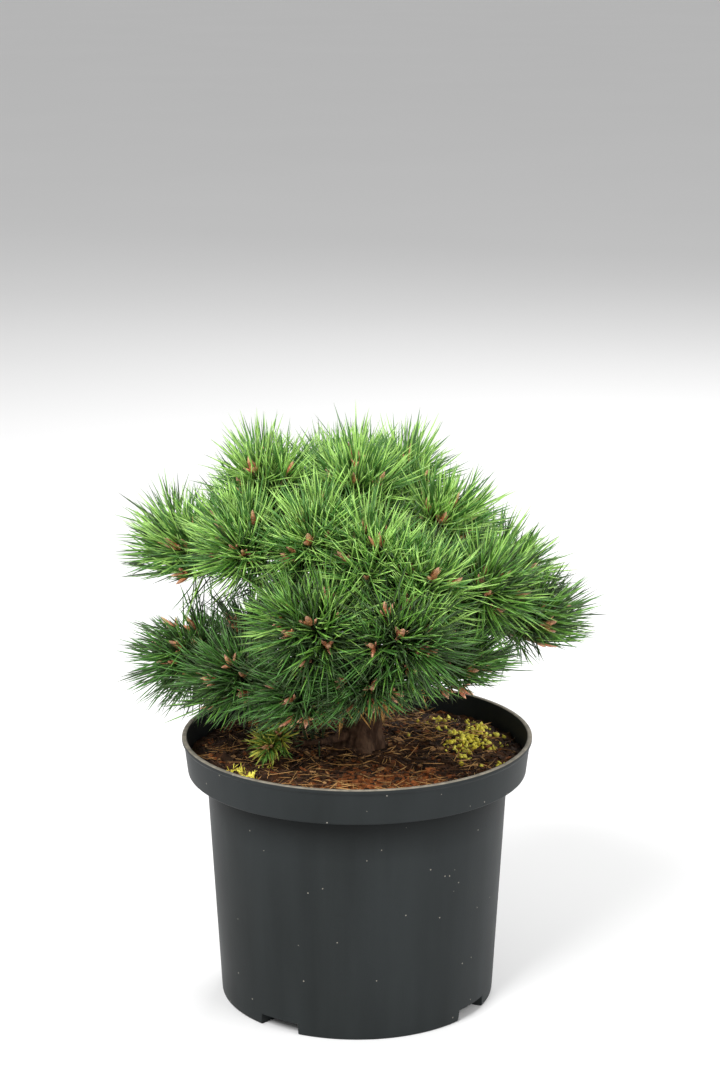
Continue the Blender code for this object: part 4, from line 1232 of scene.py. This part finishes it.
def make_foliage(looks, plan):
    """Needles and twigs of every mass, on the shoots of the plant's rule."""
    greens = (needle_finish("needle_bright", looks.needle_bright, dimmed(looks.needle_bright, 0.52)),
              needle_finish("needle_green", looks.needle_green, dimmed(looks.needle_green, 0.50)),
              needle_finish("needle_deep", looks.needle_deep, dimmed(looks.needle_deep, 0.50)),
              needle_finish("needle_old_and_shade", looks.needle_old_and_shade, dimmed(looks.needle_old_and_shade, 0.45), 0.55),
              needle_finish("needle_yellow", (0.80, 0.78, 0.13), (0.34, 0.42, 0.07)))
    wood = twig_finish()
    buds = []
    twigs = Parts()
    for index, mass in enumerate(MASSES):
        rng = np.random.default_rng(NEEDLE_SEED + index)
        parts = Parts()
        for shoot in shoots_of(plan, index, looks.fine_shoots, looks.knit):
            long = np.linalg.norm(shoot.end - shoot.start)
            count = max(12, int(looks.pairs_per_metre * long))
            first = 0.20 if shoot.order else 0.26
            length = looks.needle_length * (SOIL_NEEDLES if mass.name == SKIRT_FREE else 1.0)
            needles = clothing(shoot, mass, rng, count, first, LEANS, length, looks.needle_width)
            needles = kept_needles(plan, index, needles, rng)
            if len(needles[0]) < BALD:
                continue
            tone = 4 if mass.name == SKIRT_FREE else tone_of(shoot, rng)
            # Painted shade: a random share of the needles takes a darker green for the crown's inside.
            inner, outer = split_needles(needles, rng.uniform(0, 1, len(needles[0])) < SHADED_SHARE)
            parts.add(*needle_shapes(*outer), slot=tone)
            parts.add(*needle_shapes(*inner), slot=SHADED_TONES[tone])
            t = np.linspace(0, 1, 9)
            radii = (TWIG_RADIUS - TWIG_TAPER * t) * mass.size ** 0.5 * (1.0 if shoot.order < 2 else 0.8)
            twigs.add(*tube(curve_point(*shoot[:3], t), radii, 7))
            buds.append((shoot, mass))
        if mass.bough is not None:
            start, bend, end = bough_curve(mass)
            outer = Shoot(curve_point(start, bend, end, 0.45), curve_point(start, bend, end, 0.75), end, 0)
            old = clothing(outer, mass, rng, int(looks.old_pairs * mass.size), 0.0, OLD_LEANS,
                           looks.needle_length * 0.92, looks.needle_width)
            parts.add(*needle_shapes(*kept_needles(plan, index, old, rng)), slot=3)
        piece = parts.piece("needles_" + mass.name, greens, "pine_needles")
        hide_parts("foliage_" + mass.name)
    twigs.piece("twigs", [wood], "pine_bark")
    return buds


def bud_shape():
    """One bud: an egg drawn to a point, its rings pushed in and out like scales."""
    rows = np.linspace(0.0, 1.0, 8)
    turn = np.linspace(0, math.tau, 8, endpoint=False)
    swell = 1.32 * (rows + 0.06) ** 0.38 * (1.02 - rows) ** 0.62
    scale = 1 + 0.09 * np.sin(turn[None, :] * 4 + rows[:, None] * 17)
    radius = swell[:, None] * scale
    level = np.repeat(rows[:, None], 8, axis=1)
    points = np.stack((radius * np.cos(turn), radius * np.sin(turn), level), axis=-1)
    points = np.concatenate((points.reshape(-1, 3), [(0, 0, -0.02), (0, 0, 1.06)]))
    caps = np.concatenate((fan(64, np.arange(8)[::-1]), fan(65, np.arange(8) + 56)))
    uv = np.stack((np.zeros(66), np.clip(points[:, 2], 0, 1)), axis=-1)
    return points, grid_quads(8, 8), caps, uv


def make_buds(buds):
    """Buds at the shoots' tips: one in the middle and a few round it."""
    rng = np.random.default_rng(BUD_SEED)
    shape, quads, caps, uv = bud_shape()
    places, axes, scales = [], [], []
    for shoot, mass in buds:
        heading = curve_heading(*shoot[:3], 1.0)
        across, over = cross_axes(heading)
        size = mass.size ** 0.5 * (1.0 if shoot.order < 2 else 0.72)
        cluster = int(rng.integers(2, 5)) if shoot.order < 2 else int(rng.integers(0, 3))
        for number in range(cluster + 1):
            turn = math.tau * number / max(1, cluster) + rng.uniform(0, 1)
            lean = 0.0 if number == 0 else rng.uniform(0.50, 0.90)
            aim = unit(heading + (across * math.cos(turn) + over * math.sin(turn)) * lean)
            side, third = cross_axes(aim)
            long = size * (rng.uniform(0.0105, 0.0140) if number == 0 else rng.uniform(0.0065, 0.0098))
            wide = long * rng.uniform(0.19, 0.24)
            places.append(shoot.end - heading * 0.0008 + (aim - heading) * 0.0012)
            axes.append((side, third, aim))
            scales.append((wide, wide, long))
    points, (quads, caps) = copies(shape, (quads, caps), np.array(places), np.array(axes), np.array(scales))
    add_piece("buds", points, quads, caps, [bud_finish()], "pine_bark", np.tile(uv, (len(places), 1)))


def make_dead_needles(looks, plan):
    """Tan needles that still hang from the lowest boughs near the trunk."""
    rng = np.random.default_rng(DEAD_SEED)
    finishes = (straw_finish("dead_needle", (0.98, 0.62, 0.18), (0.55, 0.28, 0.08)),)
    parts = Parts()
    low = [mass.name for mass in MASSES].index(SKIRT_FREE)
    for mass in MASSES:
        if mass.bough is None or mass.bough > 0.20 or mass.name == SKIRT_FREE:
            continue
        start, bend, end = bough_curve(mass)
        tuft = mass.name in ("front_foot", "right_foot")
        places = (0.26, 0.34, 0.42) if tuft else (0.30, 0.50, 0.72)
        inner = Shoot(*(curve_point(start, bend, end, t) for t in places), 0)
        count, share = (44, 0.50) if tuft else (6, 0.70)
        length = looks.needle_length * share
        dead = clothing(inner, mass, rng, count, 0.0, DEAD_LEANS, length, DEAD_WIDTH, DEAD_DROOP)
        parts.add(*needle_shapes(*kept_needles(plan, low, dead, rng)))
    parts.piece("dead_needles", finishes, "pine_needles")


def make_stage(looks):
    """A pale floor, a bright even surround, three soft lights and the camera."""
    scene = bpy.context.scene
    corners = [(x * FLOOR_HALF, y * FLOOR_HALF, 0.0) for x, y in ((-1, -1), (1, -1), (1, 1), (-1, 1))]
    mesh = bpy.data.meshes.new("floor")
    mesh.from_pydata(corners, [], [(0, 1, 2, 3)])
    mesh.materials.append(floor_finish())
    floor = bpy.data.objects.new("floor", mesh)
    scene.collection.objects.link(floor)
    scene.world = bpy.data.worlds.new("surround")
    scene.world.use_nodes = True
    back = scene.world.node_tree.nodes["Background"]
    back.inputs["Color"].default_value = (1.0, 1.0, 1.0, 1.0)
    back.inputs["Strength"].default_value = looks.surround
    for name, place, width, share in LIGHTS:
        data = bpy.data.lights.new(name, "AREA")
        data.size = width
        data.energy = looks.key * share
        lamp = bpy.data.objects.new(name, data)
        lamp.location = place
        aim = LIGHT_AIM - np.array(place)
        down = math.atan2(math.hypot(aim[0], aim[1]), -aim[2])
        lamp.rotation_euler = (down, 0.0, math.atan2(aim[1], aim[0]) - math.pi / 2)
        scene.collection.objects.link(lamp)
    data = bpy.data.cameras.new("camera")
    data.lens = looks.lens
    data.sensor_width = 36.0
    data.clip_end = CLIP_END
    camera = bpy.data.objects.new("camera", data)
    camera.location = (looks.camera_side, -looks.camera_distance, looks.camera_height)
    camera.rotation_euler = (math.radians(90.0) - looks.camera_tilt, 0.0, 0.0)
    scene.collection.objects.link(camera)
    scene.camera = camera
    scene.view_settings.view_transform = "Standard"


def make_bed(looks):
    """The soil with its chips, litter and moss."""
    make_soil(looks)
    make_chips()
    make_litter()
    make_moss()


def make_wood(looks):
    """The trunk and boughs in one bark."""
    bark = bark_finish(looks)
    make_trunk(bark)
    make_boughs(bark)


def make_crown(looks):
    """The needles, twigs and buds of every mass, and the dead needles below."""
    plan = Plan()
    make_buds(make_foliage(looks, plan))
    make_dead_needles(looks, plan)


# The add-on

def length(label, description, value):
    """A setting that is a length."""
    return FloatProperty(name=label, description=description, default=value, unit="LENGTH")


def tint(label, description, value):
    """A setting that is a colour."""
    return FloatVectorProperty(name=label, description=description, default=value, subtype="COLOR")


class PineLooks(bpy.types.PropertyGroup):
    """Sizes and colours of the plant."""

    needle_length: length("Needle length", "Length of a full needle", 0.0430)
    needle_width: length("Needle width", "Width of a needle across its flat side", 0.00130)
    pairs_per_metre: FloatProperty(name="Pairs per metre", description="Needle pairs along a metre of shoot",
                                   default=1350.0)
    old_pairs: IntProperty(name="Old pairs", description="Needle pairs on the end of each bough", default=34)
    fine_shoots: IntProperty(name="Fine shoots", description="Finer shoots tried on each leader", default=3)
    knit: length("Knit", "How far finer shoots may reach into the next mass", 0.009)
    # Bright greens go to high shoots and deep greens to low ones; the deep greens are partly painted shade.
    needle_bright: tint("Bright needles", "Colour of high and outer shoots", (0.440, 0.760, 0.170))
    needle_green: tint("Green needles", "Colour of most shoots", (0.192, 0.430, 0.066))
    needle_deep: tint("Deep needles", "Colour of low and shaded shoots", (0.095, 0.255, 0.047))
    # Old needles on the bough ends, and the darker green painted as shade inside the crown.
    needle_old_and_shade: tint("Old needles", "Colour of needles inside the crown", (0.050, 0.105, 0.026))
    pot: tint("Pot", "Colour of the pot", (0.020, 0.023, 0.023))
    soil: tint("Soil", "Colour of the soil", (0.085, 0.033, 0.012))
    bark: tint("Bark", "Colour of the bark", (0.052, 0.031, 0.019))
    surround: FloatProperty(name="Surround", description="Strength of the even light", default=0.56)
    key: FloatProperty(name="Key light", description="Power of the main light", default=70.0, unit="POWER")
    lens: FloatProperty(name="Lens", description="Focal length", default=86.67, unit="CAMERA")
    camera_side: length("Camera side", "Camera to the right of the plant", 0.0019)
    camera_distance: length("Camera distance", "Camera in front of the plant", 1.5933)
    camera_height: length("Camera height", "Camera above the floor", 0.6982)
    camera_tilt: FloatProperty(name="Camera tilt", description="Camera's downward tilt",
                               default=math.radians(14.0), unit="ROTATION", subtype="ANGLE")


class PineStep:
    """A step that runs its work with the scene's settings."""

    def execute(self, context):
        self.work(context.scene.pine_looks)
        return {"FINISHED"}


class PINE_OT_stage(PineStep, bpy.types.Operator):
    """Floor, surround, lights and camera"""
    bl_idname = "pine.stage"
    bl_label = "Stage"
    work = staticmethod(make_stage)


class PINE_OT_pot(PineStep, bpy.types.Operator):
    """The nursery pot"""
    bl_idname = "pine.pot"
    bl_label = "Pot"
    work = staticmethod(make_pot)


class PINE_OT_soil(PineStep, bpy.types.Operator):
    """Soil with chips, litter and moss"""
    bl_idname = "pine.soil"
    bl_label = "Soil"
    work = staticmethod(make_bed)


class PINE_OT_wood(PineStep, bpy.types.Operator):
    """Trunk and boughs with their bark"""
    bl_idname = "pine.wood"
    bl_label = "Wood"
    work = staticmethod(make_wood)


class PINE_OT_foliage(PineStep, bpy.types.Operator):
    """Needles, twigs and buds of every mass, and the dead needles below"""
    bl_idname = "pine.foliage"
    bl_label = "Foliage"
    work = staticmethod(make_crown)


class PINE_PT_panel(bpy.types.Panel):
    """The pine's looks and its pieces"""
    bl_label = "Pine"
    bl_idname = "PINE_PT_panel"
    bl_space_type = "VIEW_3D"
    bl_region_type = "UI"
    bl_category = "Pine"

    def draw(self, context):
        looks = context.scene.pine_looks
        for name in PineLooks.__annotations__:
            self.layout.prop(looks, name)
        for operator in OPERATORS:
            self.layout.operator(operator.bl_idname)


OPERATORS = (PINE_OT_stage, PINE_OT_pot, PINE_OT_soil, PINE_OT_wood, PINE_OT_foliage)
CLASSES = (PineLooks, *OPERATORS, PINE_PT_panel)


def register():
    """Add the classes and the scene's settings."""
    for item in CLASSES:
        bpy.utils.register_class(item)
    bpy.types.Scene.pine_looks = PointerProperty(type=PineLooks)


def unregister():
    """Take them away again."""
    del bpy.types.Scene.pine_looks
    for item in reversed(CLASSES):
        bpy.utils.unregister_class(item)


def main():
    """Register, and build every piece in order."""
    register()
    bpy.ops.pine.stage()
    bpy.ops.pine.pot()
    bpy.ops.pine.soil()
    bpy.ops.pine.wood()
    bpy.ops.pine.foliage()


if __name__ == "__main__":
    main()
